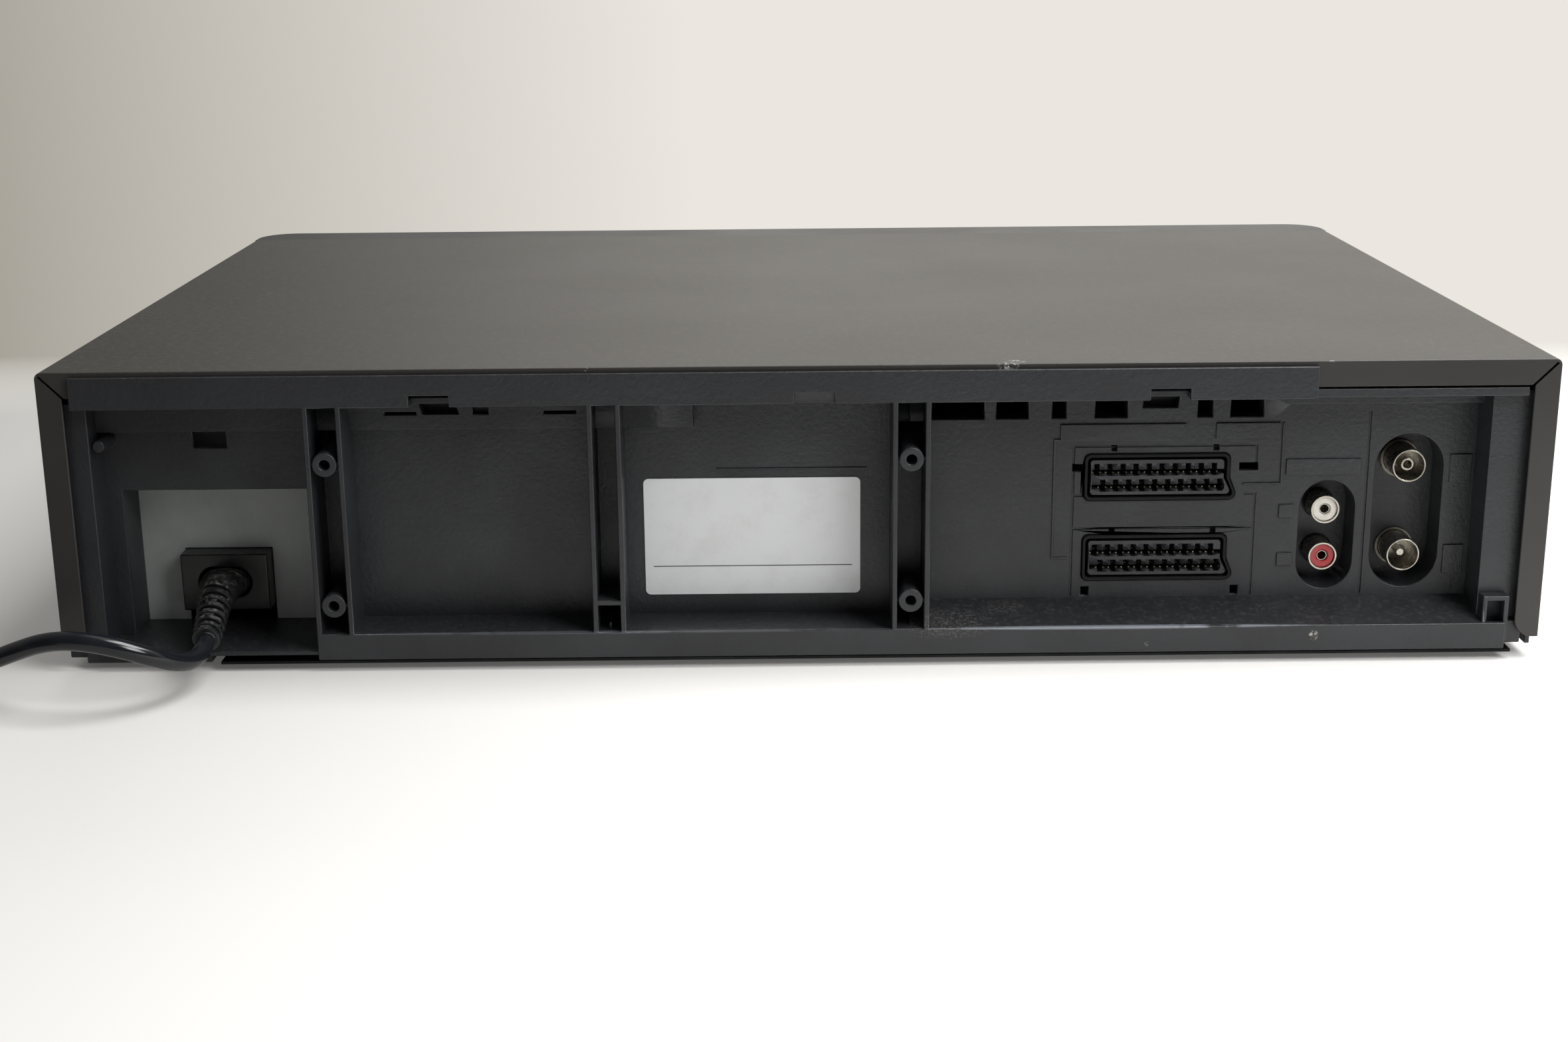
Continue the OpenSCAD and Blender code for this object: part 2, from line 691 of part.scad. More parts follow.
// A push switch on the front board
module push_switch(x, z) {
  block([x - 3, x + 3], [board_y - switch_h, board_y + eps], [z - 3, z + 3]);
  bar_y(1.7, x, z, [board_y - switch_h - 0.5, board_y]);
}

// Front board with the push switches behind the buttons
module front_board() {
  color([0.16, 0.36, 0.20]) {
    block([window_x[0] - 8, half_w - 6], [board_y, board_y + board_t],
      [fascia_z[0] + 3, fascia_z[1] - 3.5]);
    block([power_button_x - 14, power_button_x + 14], [board_y, board_y + board_t],
      [30, fascia_z[1] - 3.5]);
    for (x = transport_x)
      push_switch(x, transport_z);
    for (z = [power_button_z, eject_button_z])
      push_switch(power_button_x, z);
    for (s = [-1, 1])
      push_switch(rocker_x, transport_z + s * 7);
  }
}

// A button cap with its collar behind the wall and its stem
module button(x, z, hollow) {
  w = button_w / 2;
  h = button_h / 2;
  y1 = front_y + fascia_t + flange_gap;
  difference() {
    union() {
      block([x - w, x + w], [front_y - button_proud, y1 + 1], [z - h, z + h]);
      block([x - w - 1.2, x + w + 1.2], [y1, y1 + 1.2], [z - h - 1.2, z + h + 1.2]);
      block([x - 2, x + 2], [y1 + 1, board_y - switch_h - 0.6 - button_travel], [z - 2, z + 2]);
    }
    if (hollow)
      block([x - w + 1.5, x - 3], [front_y + 0.6, y1 + 2], [z - h + 1.5, z + h - 1.5]);
    if (hollow)
      block([x + 3, x + w - 1.5], [front_y + 0.6, y1 + 2], [z - h + 1.5, z + h - 1.5]);
  }
}

module power_button() {
  color([0.14, 0.14, 0.15])
    button(power_button_x, power_button_z, true);
}

module eject_button() {
  color([0.14, 0.14, 0.15])
    button(power_button_x, eject_button_z, true);
}

module transport_button(k) {
  color([0.14, 0.14, 0.15])
    button(transport_x[k], transport_z, true);
}

module rewind_button() {
  transport_button(0);
}

module play_button() {
  transport_button(1);
}

module forward_button() {
  transport_button(2);
}

module stop_button() {
  transport_button(3);
}

module record_button() {
  transport_button(4);
}

// Rocker that steps the channels, on two pins
module channel_rocker() {
  y0 = front_y - button_proud;
  color([0.14, 0.14, 0.15]) {
    difference() {
      block([rocker_x - rocker_w / 2, rocker_x + rocker_w / 2], [y0, rocker_axis_y + 1.4],
        [transport_z - rocker_h / 2, transport_z + rocker_h / 2]);
      for (s = [-1, 1])
        block([rocker_x - rocker_w / 2 + 2, rocker_x + rocker_w / 2 - 2],
          [front_y + 0.8, rocker_axis_y + 2],
          [transport_z + s * 3, transport_z + s * (rocker_h / 2 - 1.4)]);
    }
    bar_x(rocker_pin_r, [rocker_x - rocker_w / 2 - 2.8, rocker_x + rocker_w / 2 + 2.8],
      rocker_axis_y, transport_z);
  }
}

// Door of the cassette slot, hung on two pins at its top edge
module cassette_door() {
  w = slot_w / 2 - door_gap;
  color([0.12, 0.12, 0.13]) {
    difference() {
      block([lift_x - w, lift_x + w], [front_y, front_y + door_t],
        [slot_z[0] + door_gap, slot_z[1] - door_gap]);
      block([lift_x - w - 1, lift_x + w + 1], [front_y - 1, front_y + 0.5],
        [slot_z[0] + 5, slot_z[0] + 5.8]);
    }
    bar_x(door_knuckle_r, [lift_x - w, lift_x - w + 12], door_axis_y, door_axis_z);
    bar_x(door_knuckle_r, [lift_x + w - 12, lift_x + w], door_axis_y, door_axis_z);
    bar_x(door_pin_r, [lift_x - w - 3.2, lift_x + w + 3.2], door_axis_y, door_axis_z);
  }
}

// Posts of the frame, as [x, y]
deck_post = [
  [deck_x[0] + 5, deck_y[0] + 5], [deck_x[1] - 5, deck_y[0] + 5], [deck_x[0] + 5, deck_y[1] - 20],
  [deck_x[1] - 5, deck_y[1] - 8], [deck_x[0] + 5, 0], [deck_x[1] - 5, 0]
];
board_x = [52, half_w - 9];
main_board_y = [-104, 16];
power_board_y = [24, 100];

// The four corners of a board, inset
function corners(x, y) = [for (a = x, b = y) [a, b]];
board_post = concat(
  corners([board_x[0] + 5, board_x[1] - 5], [main_board_y[0] + 5, main_board_y[1] - 5]),
  corners([board_x[0] + 5, board_x[1] - 5], [power_board_y[0] + 5, power_board_y[1] - 5])
);

// Moulded inner frame: floor, sides, posts and screw bosses
module main_frame() {
  y = [cover_front_y, wall_in_y - fit_gap];
  floor_z = [frame_z, frame_z + frame_t];
  color([0.20, 0.20, 0.21])
    difference() {
      union() {
        block([-frame_x, frame_x], y, floor_z);
        for (s = [-1, 1]) {
          block([s * frame_x, s * (frame_x - frame_t)], y, [frame_z, body_h - 24]);
          for (yy = cover_screw_y)
            bar_x(4, s > 0 ? [frame_x - 7, frame_x - 1] : [1 - frame_x, 7 - frame_x], yy, cover_screw_z);
          for (k = [0 : 5])
            block([s * (frame_x - frame_t + eps), s * (frame_x - 6)], [-90 + 34 * k, -88.6 + 34 * k],
              [frame_z, body_h - 50]);
        }
        for (p = concat(deck_post, board_post))
          translate([p[0], p[1], frame_z])
            cylinder(r = 4, h = deck_z - frame_z);
        for (x = [deck_x[1] + 4, board_x[0] + 70])
          block([x, x + 1.6], [y[0] + 8, y[1] - 30], [frame_z, frame_z + 5]);
      }
      for (s = [-1, 1], yy = cover_screw_y)
        bar_x(1.5, s > 0 ? [frame_x - 6, frame_x + 1] : [-frame_x - 1, 6 - frame_x], yy, cover_screw_z);
      for (p = concat(deck_post, board_post))
        translate([p[0], p[1], deck_z - 6])
          cylinder(r = 1.3, h = 7);
      block([power_x[0] - 5, half_w - 5], [insulation_y - 2, wall_y], [frame_z - 1, frame_z + 8]);
      // slots that let air in under the boards
      for (k = [0 : 11])
        block([board_x[0] + 14 + 10 * k, board_x[0] + 17 + 10 * k], [-60, -30], [frame_z - 1, frame_z + 3]);
    }
}

foot_at = [[-172, -106], [172, -106], [-172, 108], [172, 108], [-24, 118]];

// Sheet-steel bottom with its air slots
module bottom_plate() {
  color([0.55, 0.55, 0.54])
    difference() {
      block([-(half_w - 8), half_w - 8], [front_y + 13, rear_y - 1], [foot_h, plate_top_z]);
      block([half_w - 46, half_w], [rear_y - 10, rear_y], [0, 9]);
      for (k = [0 : 11], y = [-60, 40])
        block([board_x[0] + 14 + 10 * k, board_x[0] + 17 + 10 * k], [y, y + 30], [0, 9]);
      for (x = [-140 : 24 : 30])
        block([x, x + 3], [-70, -40], [0, 9]);
    }
}

// Rubber feet
module feet() {
  color([0.08, 0.08, 0.08])
    for (p = foot_at)
      translate([p[0], p[1], 0])
        difference() {
          cylinder(r = 9, h = foot_h);
          translate([0, 0, -1])
            cylinder(r = 4, h = 1.6);
        }
}

// Screws in the cover's sides
module cover_screws() {
  color([0.20, 0.20, 0.21])
    for (s = [0, 1], y = cover_screw_y)
      mirror([s, 0, 0]) {
        difference() {
          bar_x(3.6, [half_w, half_w + 1], y, cover_screw_z);
          block([half_w + 0.4, half_w + 2], [y - 2.4, y + 2.4], [cover_screw_z - 0.4, cover_screw_z + 0.4]);
          block([half_w + 0.4, half_w + 2], [y - 0.4, y + 0.4], [cover_screw_z - 2.4, cover_screw_z + 2.4]);
        }
        bar_x(1.4, [frame_x - 5, half_w + eps], y, cover_screw_z);
      }
}

// Bare silver plate where the type label sits
module rating_label() {
  color([0.78, 0.79, 0.80])
    along_y([wall_y, wall_y + 0.4])
      translate([label_x, label_z])
        round_rect(label_w, label_h, 1.5);
}

// Video socket: its shell, and the block inside it with two rows of slots and a slit along each row
module scart_block() {
  depth = [scart_face_y - scart_slot_d, scart_face_y + 1];
  half_x = scart_slot[0] / 2;
  half_z = scart_slot[1] / 2;
  difference() {
    along_y([wall_y - scart_body_d + 2, scart_face_y])
      scart_outline(-scart_wall - scart_channel);
    for (row = scart_rows) {
      block([-scart_w / 2 + 3.1, scart_w / 2 - 2], depth, [row[0], row[0] + scart_slit_h]);
      for (k = [0 : contact_count - 1])
        translate([contact_x(k) + row[2], 0, row[1]])
          block([-half_x, half_x], depth, [-half_z, half_z]);
    }
  }
}

module scart_socket(z) {
  color([0.09, 0.09, 0.10])
    at_scart(z) {
      difference() {
        union() {
          along_y([wall_y - scart_body_d, wall_y + scart_proud])
            scart_outline(0);
          along_y([wall_in_y - 1.2, wall_in_y])
            scart_outline(2);
        }
        along_y([wall_y - scart_body_d + 3, wall_y + scart_proud + 1])
          scart_outline(-scart_wall);
      }
      scart_block();
    }
}

module scart_upper() {
  scart_socket(scart_z[1]);
}

module scart_lower() {
  scart_socket(scart_z[0]);
}

// Forked contacts of both video sockets, each in its row's slit
module scart_contacts() {
  back_y = scart_face_y - scart_slot_d;
  fork_x = scart_slot[0] / 2 + 0.5;
  color([0.72, 0.66, 0.45])
    for (z = scart_z, row = scart_rows, k = [0 : contact_count - 1])
      at_scart(z)
        translate([contact_x(k) + row[2], back_y, row[0]]) {
          block([-fork_x, fork_x], [0, 3], [0, 0.4]);
          for (s = [-1, 1])
            block([s * (fork_x - 0.4), s * fork_x], [3 - eps, scart_slot_d - 1.4], [0, 0.4]);
        }
}

// Moulded body behind the phono sockets
module phono_block() {
  color([0.08, 0.08, 0.08])
    block([phono_x - 9, phono_x + 9], [recess_y - 6, recess_y], [phono_z[0] - 8, phono_z[1] + 8]);
}

// Nickel shells of the phono sockets
module phono_shells() {
  color([0.72, 0.71, 0.68])
    for (z = phono_z)
      difference() {
        bar_y(phono_d / 2, phono_x, z, [recess_y, phono_face_y]);
        bar_y(phono_d / 2 - 0.45, phono_x, z, [recess_y - 1, phono_face_y + 1]);
      }
}

// Coloured insert of a phono socket
module phono_insert(z) {
  difference() {
    bar_y(phono_d / 2 - 0.45, phono_x, z, [recess_y, phono_face_y - 0.6]);
    bar_y(1.65, phono_x, z, [recess_y + 1, phono_face_y + 1]);
  }
}

module phono_inserts() {
  color([0.85, 0.83, 0.78])
    phono_insert(phono_z[1]);
  color([0.75, 0.12, 0.15])
    phono_insert(phono_z[0]);
}

// Tinplate can of the tuner, behind the aerial sockets
module tuner_can() {
  x = [aerial_x - 16, aerial_x + 9];
  color([0.68, 0.68, 0.66])
    difference() {
      block(x, [recess_y - 44, recess_y], [frame_z + frame_t, aerial_z[1] + 10]);
      for (k = [0 : 4])
        block([x[0] - 1, x[0] + 0.6], [recess_y - 40 + 8 * k, recess_y - 36 + 8 * k], [20, 44]);
      block([x[0] + 5, x[1] - 5], [recess_y - 36, recess_y - 12], [aerial_z[1] + 9.4, aerial_z[1] + 11]);
    }
}

// Barrel of an aerial socket, with a flange on the can
module aerial_barrel(z) {
  difference() {
    bar_y(aerial_d / 2, aerial_x, z, [recess_y, aerial_face_y]);
    bar_y(aerial_d / 2 - 0.55, aerial_x, z, [recess_y + 2, aerial_face_y + 1]);
  }
}

// Aerial input: a barrel round a socket tube
module aerial_input() {
  z = aerial_z[1];
  color([0.70, 0.69, 0.66]) {
    aerial_barrel(z);
    difference() {
      bar_y(1.9, aerial_x, z, [recess_y + 1, aerial_face_y - 2]);
      bar_y(1.2, aerial_x, z, [recess_y + 3, aerial_face_y - 1]);
    }
  }
}

// Aerial output: a barrel round a pin
module aerial_output() {
  z = aerial_z[0];
  color([0.70, 0.69, 0.66]) {
    aerial_barrel(z);
    bar_y(1.15, aerial_x, z, [recess_y + 1, aerial_face_y - 3]);
  }
}

// Main board with its larger components
module main_board() {
  z = deck_z + board_t;
  color([0.62, 0.48, 0.26])
    difference() {
      union() {
        block(board_x, main_board_y, [deck_z, z]);
        for (k = [0 : 3])
          block([70 + 34 * k, 86 + 34 * k], [-84, -48], [z - eps, z + 4]);
        for (k = [0 : 5])
          translate([68 + 24 * k, -26, z - eps])
            cylinder(r = 5, h = 14);
        block([150, 196], [-14, 8], [z - eps, z + 18]);
      }
      for (p = corners([board_x[0] + 5, board_x[1] - 5], [main_board_y[0] + 5, main_board_y[1] - 5]))
        translate([p[0], p[1], deck_z - 1])
          cylinder(r = 1.6, h = 4);
    }
}

// Power board with its reservoir capacitors and fuse
module power_board() {
  z = deck_z + board_t;
  color([0.55, 0.42, 0.24])
    difference() {
      union() {
        block(board_x, power_board_y, [deck_z, z]);
        for (k = [0 : 3])
          translate([70, 38 + 16 * k, z - eps])
            cylinder(r = 6, h = 22);
        translate([194, 44, z - eps])
          cylinder(r = 11, h = 34);
        block([184, 204], [70, 78], [z - eps, z + 10]);
      }
      for (p = corners([board_x[0] + 5, board_x[1] - 5], [power_board_y[0] + 5, power_board_y[1] - 5]))
        translate([p[0], p[1], deck_z - 1])
          cylinder(r = 1.6, h = 4);
    }
}

// Power transformer: ferrite core round a wound bobbin
module power_transformer() {
  z = deck_z + board_t;
  x = 150;
  y = 60;
  color([0.30, 0.22, 0.14])
    union() {
      difference() {
        block([x - 20, x + 20], [y - 8, y + 8], [z + 3, z + 37]);
        for (s = [-1, 1])
          block([x + s * 6, x + s * 14], [y - 9, y + 9], [z + 10, z + 30]);
      }
      translate([x, y, z])
        cylinder(r = 6, h = 5);
      difference() {
        block([x - 13, x + 13], [y - 14, y + 14], [z + 11, z + 29]);
        block([x - 6 + eps, x + 6 - eps], [y - 8, y + 8], [z + 10, z + 30]);
      }
    }
}

// Finned heat sink on the power board
module heatsink() {
  z = deck_z + board_t;
  color([0.70, 0.71, 0.72]) {
    block([104, 106], [34, 90], [z, z + 42]);
    for (k = [0 : 7])
      block([106 - eps, 116], [35 + 7.6 * k, 36.4 + 7.6 * k], [z, z + 42]);
  }
}

// Grey insulating board behind the power bay's window
module insulation_plate() {
  x = [power_x[0] + 1, half_w - 10];
  color([0.50, 0.51, 0.50])
    difference() {
      block(x, [insulation_y - 1.2, insulation_y], [frame_z + 2.8, body_h - 18]);
      block([inlet_x - inlet_w / 2 - 0.2, inlet_x + inlet_w / 2 + 0.2],
        [insulation_y - 2, insulation_y + 1], [0, inlet_z[1] + 0.2]);
    }
}

// An obround lying along X, across Y
module flat_obround(w, h, y) {
  z = (inlet_z[0] + inlet_z[1]) / 2;
  for (s = [-1, 1])
    bar_y(h / 2, inlet_x + s * (w - h) / 2, z, y);
  block([inlet_x - (w - h) / 2, inlet_x + (w - h) / 2], y, [z - h / 2, z + h / 2]);
}

// Two-pole mains inlet
module mains_inlet() {
  z = (inlet_z[0] + inlet_z[1]) / 2;
  color([0.05, 0.05, 0.05])
    union() {
      difference() {
        union() {
          block([inlet_x - inlet_w / 2, inlet_x + inlet_w / 2], [inlet_face_y - 22, inlet_face_y], inlet_z);
          block([inlet_x - inlet_w / 2 + 4, inlet_x + inlet_w / 2 - 4],
            [power_board_y[1] - 4, inlet_face_y - 10],
            [deck_z + board_t, inlet_z[0] + 8]);
        }
        flat_obround(15.6, 9.4, [inlet_face_y - 12, inlet_face_y + 1]);
        block([inlet_x - inlet_w, inlet_x + inlet_w], [0, power_board_y[1] + fit_gap],
          [0, deck_z + board_t]);
      }
      for (s = [-1, 1])
        bar_y(1.2, inlet_x + s * 4.3, z, [inlet_face_y - 13, inlet_face_y - 2]);
    }
}

// Sums and directions of points along a route
function unit(v) = v / norm(v);
function bezier(p, t) =
  pow(1 - t, 3) * p[0] + 3 * t * pow(1 - t, 2) * p[1] + 3 * t * t * (1 - t) * p[2] + pow(t, 3) * p[3];
function route_len(p) = len(p) < 2 ? 0 : sum_gaps(p, 1, 0);
function sum_gaps(p, k, s) = k >= len(p) ? s : sum_gaps(p, k + 1, s + norm(p[k] - p[k - 1]));

// Direction of a route at one of its points
function heading(p, k) = unit(p[min(k + 1, len(p) - 1)] - p[max(k - 1, 0)]);

// One ring of a tube, square to the route
function ring(c, t, r, n) =
  let (u = unit(cross(t, [0, 0, 1])), v = cross(u, t))
  [for (i = [0 : n - 1]) c + r * (cos(360 * (i + 0.5) / n) * u + sin(360 * (i + 0.5) / n) * v)];

// A tube along a route, with a radius for each of its points
module tube(p, r, n) {
  last = len(p) - 1;
  points = [for (k = [0 : last]) each ring(p[k], heading(p, k), r[k], n)];
  sides = [
    for (k = [0 : last - 1], i = [0 : n - 1])
      let (a = k * n + i, b = k * n + (i + 1) % n)
      each [[a, b, a + n], [b, b + n, a + n]]
  ];
  ends = [[for (i = [n - 1 : -1 : 0]) i], [for (i = [0 : n - 1]) last * n + i]];
  polyhedron(points, concat(ends, sides));
}

// Moulded connector in the inlet, with its ribbed strain relief
boot_curve = [boot_start, [172, rear_y - 9, 19],
  boot_end - 1.3 * (lead_route[1] - lead_route[0]), boot_end];
// Places along the curve: each rib has two rings on its crest and two in the groove after it
boot_at = concat([0, 0.12], [
  for (k = [0 : boot_ribs - 1], f = [0, 0.1, 0.62, 0.72])
    0.24 + 0.66 * (k + f) / (boot_ribs - 0.28)
], [0.99, 1]);
boot_path = [for (t = boot_at) bezier(boot_curve, t)];
boot_rings = [
  for (k = [0 : len(boot_at) - 1])
    let (core = boot_r0 + (boot_r1 - boot_r0) * boot_at[k])
    k > 1 && k < len(boot_at) - 3 && (k - 2) % 4 % 3 == 0 ? core - 0.9 : core
];

module cord_connector() {
  z = (inlet_z[0] + inlet_z[1]) / 2;
  color([0.06, 0.06, 0.06]) {
    difference() {
      union() {
        flat_obround(15, 8.8, [connector_y, inlet_face_y + 3]);
        translate([boot_start[0], inlet_face_y + 3 - eps, z])
          rotate([-90, 0, 0])
            cylinder(r1 = 6.6, r2 = boot_r0 + 0.2, h = boot_start[1] - inlet_face_y - 3 + eps);
      }
      for (s = [-1, 1])
        bar_y(1.5, inlet_x + s * 4.3, z, [connector_y - 1, inlet_face_y - 1]);
    }
    tube(boot_path, boot_rings, 12);
  }
}

// Free stretch of the lead, from the strain relief to the coil
lead = concat(lead_route, [[coil_start[0] - cord_d, coil_start[1], coil_lift]]);

module mains_cord() {
  color([0.04, 0.04, 0.045])
    tube(lead, [for (p = lead) cord_r], 8);
}

// The coil spirals in on the lower layer, climbs in half a turn, and spirals out on the upper one
coil_count = coil_turns * 2 + 0.5;

function coil_radius(t) =
  t < coil_turns ? coil_out_r - coil_pitch * t
  : t < coil_turns + 0.5 ? coil_in_r - coil_dip * sin(360 * (t - coil_turns))
  : coil_in_r + coil_pitch * (t - coil_turns - 0.5);
function coil_z(t) =
  t < coil_turns ? coil_lift
  : t < coil_turns + 0.5 ? coil_lift + coil_step * (1 - cos(360 * (t - coil_turns))) / 2
  : coil_lift + coil_step;
function coil_point(t) =
  [coil_middle[0] + coil_radius(t) * sin(360 * t), coil_middle[1] - coil_radius(t) * cos(360 * t),
    coil_z(t)];
tail_fall = coil_lift + coil_step - plug_z;
function tail_point(s) =
  let (f = min(1, max(0, (s - 10) / (tail_len - 16))))
  [coil_start[0] + s, coil_start[1], plug_z + tail_fall * (1 + cos(180 * f)) / 2];
coil_path = concat(
  [[coil_start[0] - cord_d, coil_start[1], coil_lift]],
  [for (k = [0 : coil_count * coil_rings]) coil_point(k / coil_rings)],
  [for (k = [1 : 8]) tail_point(k * tail_len / 8)]
);

// Least gap between the coil's tube and itself, among points over half a turn apart
coil_gaps = [
  for (i = [0 : len(coil_path) - 1], j = [i + coil_rings / 2 : len(coil_path) - 1])
    norm(coil_path[i] - coil_path[j]) - cord_d
];
echo(coil_least_gap = min(coil_gaps));
echo(lead_length = route_len(lead), coil_length = route_len(coil_path));

module cord_coil() {
  color([0.04, 0.04, 0.045])
    tube(coil_path, [for (p = coil_path) cord_r], 6);
}

// Strap round one side of the coil
module cord_tie() {
  g = 0.3;
  r0 = coil_in_r - coil_dip - cord_r - g;
  r1 = coil_out_r + cord_r + g;
  z1 = coil_lift + coil_step + cord_r + g;
  color([0.10, 0.10, 0.10])
    translate([coil_middle[0], coil_middle[1], 0])
      difference() {
        block([-4, 4], [r0 - tie_t, r1 + tie_t], [0, z1 + tie_t]);
        block([-5, 5], [r0, r1], [tie_t, z1]);
      }
}

// Flat two-pin plug, lying beside the coil
module mains_plug() {
  x0 = coil_start[0] + tail_len;
  x1 = x0 + plug_body[0];
  w = plug_body[1] / 2;
  h = plug_body[2];
  color([0.05, 0.05, 0.05]) {
    translate([0, coil_start[1], 0])
      intersection() {
        linear_extrude(h)
          polygon([
            [x0, -5.5], [x0 + 9, -6.5], [x0 + 18, -w], [x1 - 2, -w], [x1, -w + 2],
            [x1, w - 2], [x1 - 2, w], [x0 + 18, w], [x0 + 9, 6.5], [x0, 5.5]
          ]);
        translate([0, w + 1, 0])
          rotate([90, 0, 0])
            linear_extrude(2 * w + 2)
              polygon([
                [x0, 1.4], [x0 + 12, 0], [x1 - 1, 0], [x1, 1], [x1, h - 1], [x1 - 1, h], [x0 + 12, h],
                [x0, h - 1.4]
              ]);
      }
    for (s = [-1, 1])
      bar_x(plug_pin_r, [x1 - 1, x1 + plug_pin_l], coil_start[1] + s * plug_pin_pitch / 2, plug_z);
  }
}

// Steel deck with its posts and slots
module deck_plate() {
  color([0.62, 0.62, 0.60])
    difference() {
      union() {
        block(deck_x, deck_y, [deck_z, deck_top]);
        for (x = [[deck_x[0], deck_x[0] + deck_t], [deck_x[1] - deck_t, deck_x[1]]])
          block(x, [deck_y[0], tray_y + 6], [deck_z, deck_top + 7]);
        block([cam_x + 40, deck_x[1] - 20], [deck_y[1] - deck_t, deck_y[1]], [deck_z, deck_top + 7]);
        for (x = reel_x)
          post(x, reel_y, 2, 7);
        post(idler_pivot[0], idler_pivot[1], 2, 9);
        post(pinch_pivot[0], pinch_pivot[1], 2.5, 24);
        post(cam_x, cam_y, 2.5, 14);
      }
      translate([capstan_x, capstan_y, deck_z - 1])
        cylinder(r = 5.3, h = 4);
      for (s = [-1, 1])
        guide_slot(s);
      for (p = deck_post)
        translate([p[0], p[1], deck_z - 1])
          cylinder(r = 1.7, h = 4);
    }
}

// A fixed upright post on the deck
module post(x, y, r, h) {
  translate([x, y, deck_z])
    cylinder(r = r, h = h + deck_t);
}

// Straight slot for a tape guide
guide_from = [28, loaded_y + tray_d - 2];
guide_to = [41, drum_y - 2];
guide_run = norm(guide_to - guide_from);

module guide_slot(s) {
  a = [lift_x + s * guide_from[0], guide_from[1]];
  b = [lift_x + s * guide_to[0], guide_to[1]];
  turn = atan2(b[1] - a[1], b[0] - a[0]);
  translate([a[0], a[1], deck_z - 1])
    rotate([0, 0, turn]) {
      translate([0, -guide_slot_w / 2, 0])
        cube([guide_run, guide_slot_w, 4]);
      for (x = [0, guide_run])
        translate([x, 0, 0])
          cylinder(r = guide_slot_w / 2, h = 4);
    }
}

// Tape guide: a carrier in its slot, with a roller on a post
module tape_guide(s) {
  color([0.72, 0.70, 0.64])
    translate([lift_x + s * guide_from[0], guide_from[1], 0]) {
      translate([0, 0, deck_top + 0.2])
        cylinder(r = 5, h = 3);
      translate([0, 0, deck_z - 0.8])
        cylinder(r = 1.5, h = 3);
      translate([0, 0, deck_z - 2.2])
        cylinder(r = 3.4, h = 1.9);
      translate([0, 0, deck_top + 3])
        cylinder(r = 1.5, h = 24);
      translate([0, 0, deck_top + 6])
        cylinder(r = 3, h = 17);
      for (z = [5, 23])
        translate([0, 0, deck_top + z])
          cylinder(r = 3.8, h = 1.2);
    }
}

module left_guide() {
  tape_guide(-1);
}

module right_guide() {
  tape_guide(1);
}

// Sides of the cassette lift, joined over the top
stud_y = [tray_y + 12, tray_y + 84];
stud_z = tray_z + 24;

module lift_sides() {
  y = [tray_y - 4, loaded_y + tray_d + 2];
  z = [deck_top, tray_z + 33.8];
  r = pin_r + slot_gap;
  color([0.66, 0.66, 0.64])
    difference() {
      union() {
        for (s = [-1, 1]) {
          block([lift_x + s * side_x, lift_x + s * (side_x + side_t)], y, z);
          block([lift_x + s * side_x, lift_x + s * (side_x + 5)], [y[0] + 14, y[1]], [z[0], z[0] + side_t]);
        }
        for (yy = [y[0] + 4, y[1] - 14])
          block([lift_x - side_x, lift_x + side_x], [yy, yy + 10], [z[1] - 1.2, z[1]]);
      }
      for (s = stud_y)
        block([lift_x - side_x - 6, lift_x + side_x + 6], [s - r, s + tray_in + r],
          [stud_z - r, stud_z + r]);
    }
}

// Carriage that takes the tray back
module cassette_slider() {
  top = tray_z + tray_h + 2;
  r = pin_r + slot_gap;
  color([0.60, 0.60, 0.58])
    difference() {
      union() {
        for (s = [-1, 1])
          block([lift_x + s * slider_x, lift_x + s * (slider_x + slider_t)], [tray_y + 6, tray_y + 90],
            [pin_z - tray_drop - 6, top]);
        block([lift_x - slider_x - eps, lift_x + slider_x + eps], [tray_y + 82, tray_y + 90],
          [top - 1, top]);
        for (y = stud_y)
          bar_x(pin_r, [lift_x - side_x - side_t - 0.8, lift_x - slider_x - eps], y, stud_z);
        for (y = stud_y)
          bar_x(pin_r, [lift_x + slider_x + eps, lift_x + side_x + side_t + 0.8], y, stud_z);
      }
      for (y = pin_y)
        block([lift_x - side_x - 1, lift_x + side_x + 1], [y - r, y + r],
          [pin_z - tray_drop - r, pin_z + r]);
    }
}

// Tray that holds the cassette and drops it on the spindles
module cassette_tray() {
  w = tray_w / 2;
  y = [tray_y, tray_y + tray_d];
  color([0.64, 0.65, 0.66])
    difference() {
      union() {
        for (s = [-1, 1]) {
          block([lift_x + s * w, lift_x + s * (w - tray_t)], y, [tray_z, tray_z + tray_h]);
          block([lift_x + s * w, lift_x + s * (w - 10)], y, [tray_z, tray_z + tray_t]);
          block([lift_x + s * w, lift_x + s * (w - 14)], [y[1] - tray_t, y[1]], [tray_z, tray_z + 16]);
        }
        block([lift_x - w, lift_x + w], y, [tray_z + tray_h - tray_t, tray_z + tray_h]);
        for (p = pin_y)
          bar_x(pin_r, [lift_x - w - slide_gap - slider_t, lift_x - w + eps], p, pin_z);
        for (p = pin_y)
          bar_x(pin_r, [lift_x + w - eps, lift_x + w + slide_gap + slider_t], p, pin_z);
      }
      for (s = [-1, 1])
        block([lift_x + s * 14, lift_x + s * 70], [tray_y + 24, tray_y + 74],
          [tray_z + 20, tray_z + tray_h + 1]);
    }
}

// Outline of a gear, to the tips of its teeth
module gear_outline(r, teeth, depth) {
  polygon([
    for (k = [0 : teeth - 1], c = [[0, 0], [0.18, 0], [0.32, 1], [0.68, 1], [0.82, 0]])
      let (a = 360 * (k + c[0]) / teeth, q = r - depth * (1 - c[1]))
      [q * cos(a), q * sin(a)]
  ]);
}

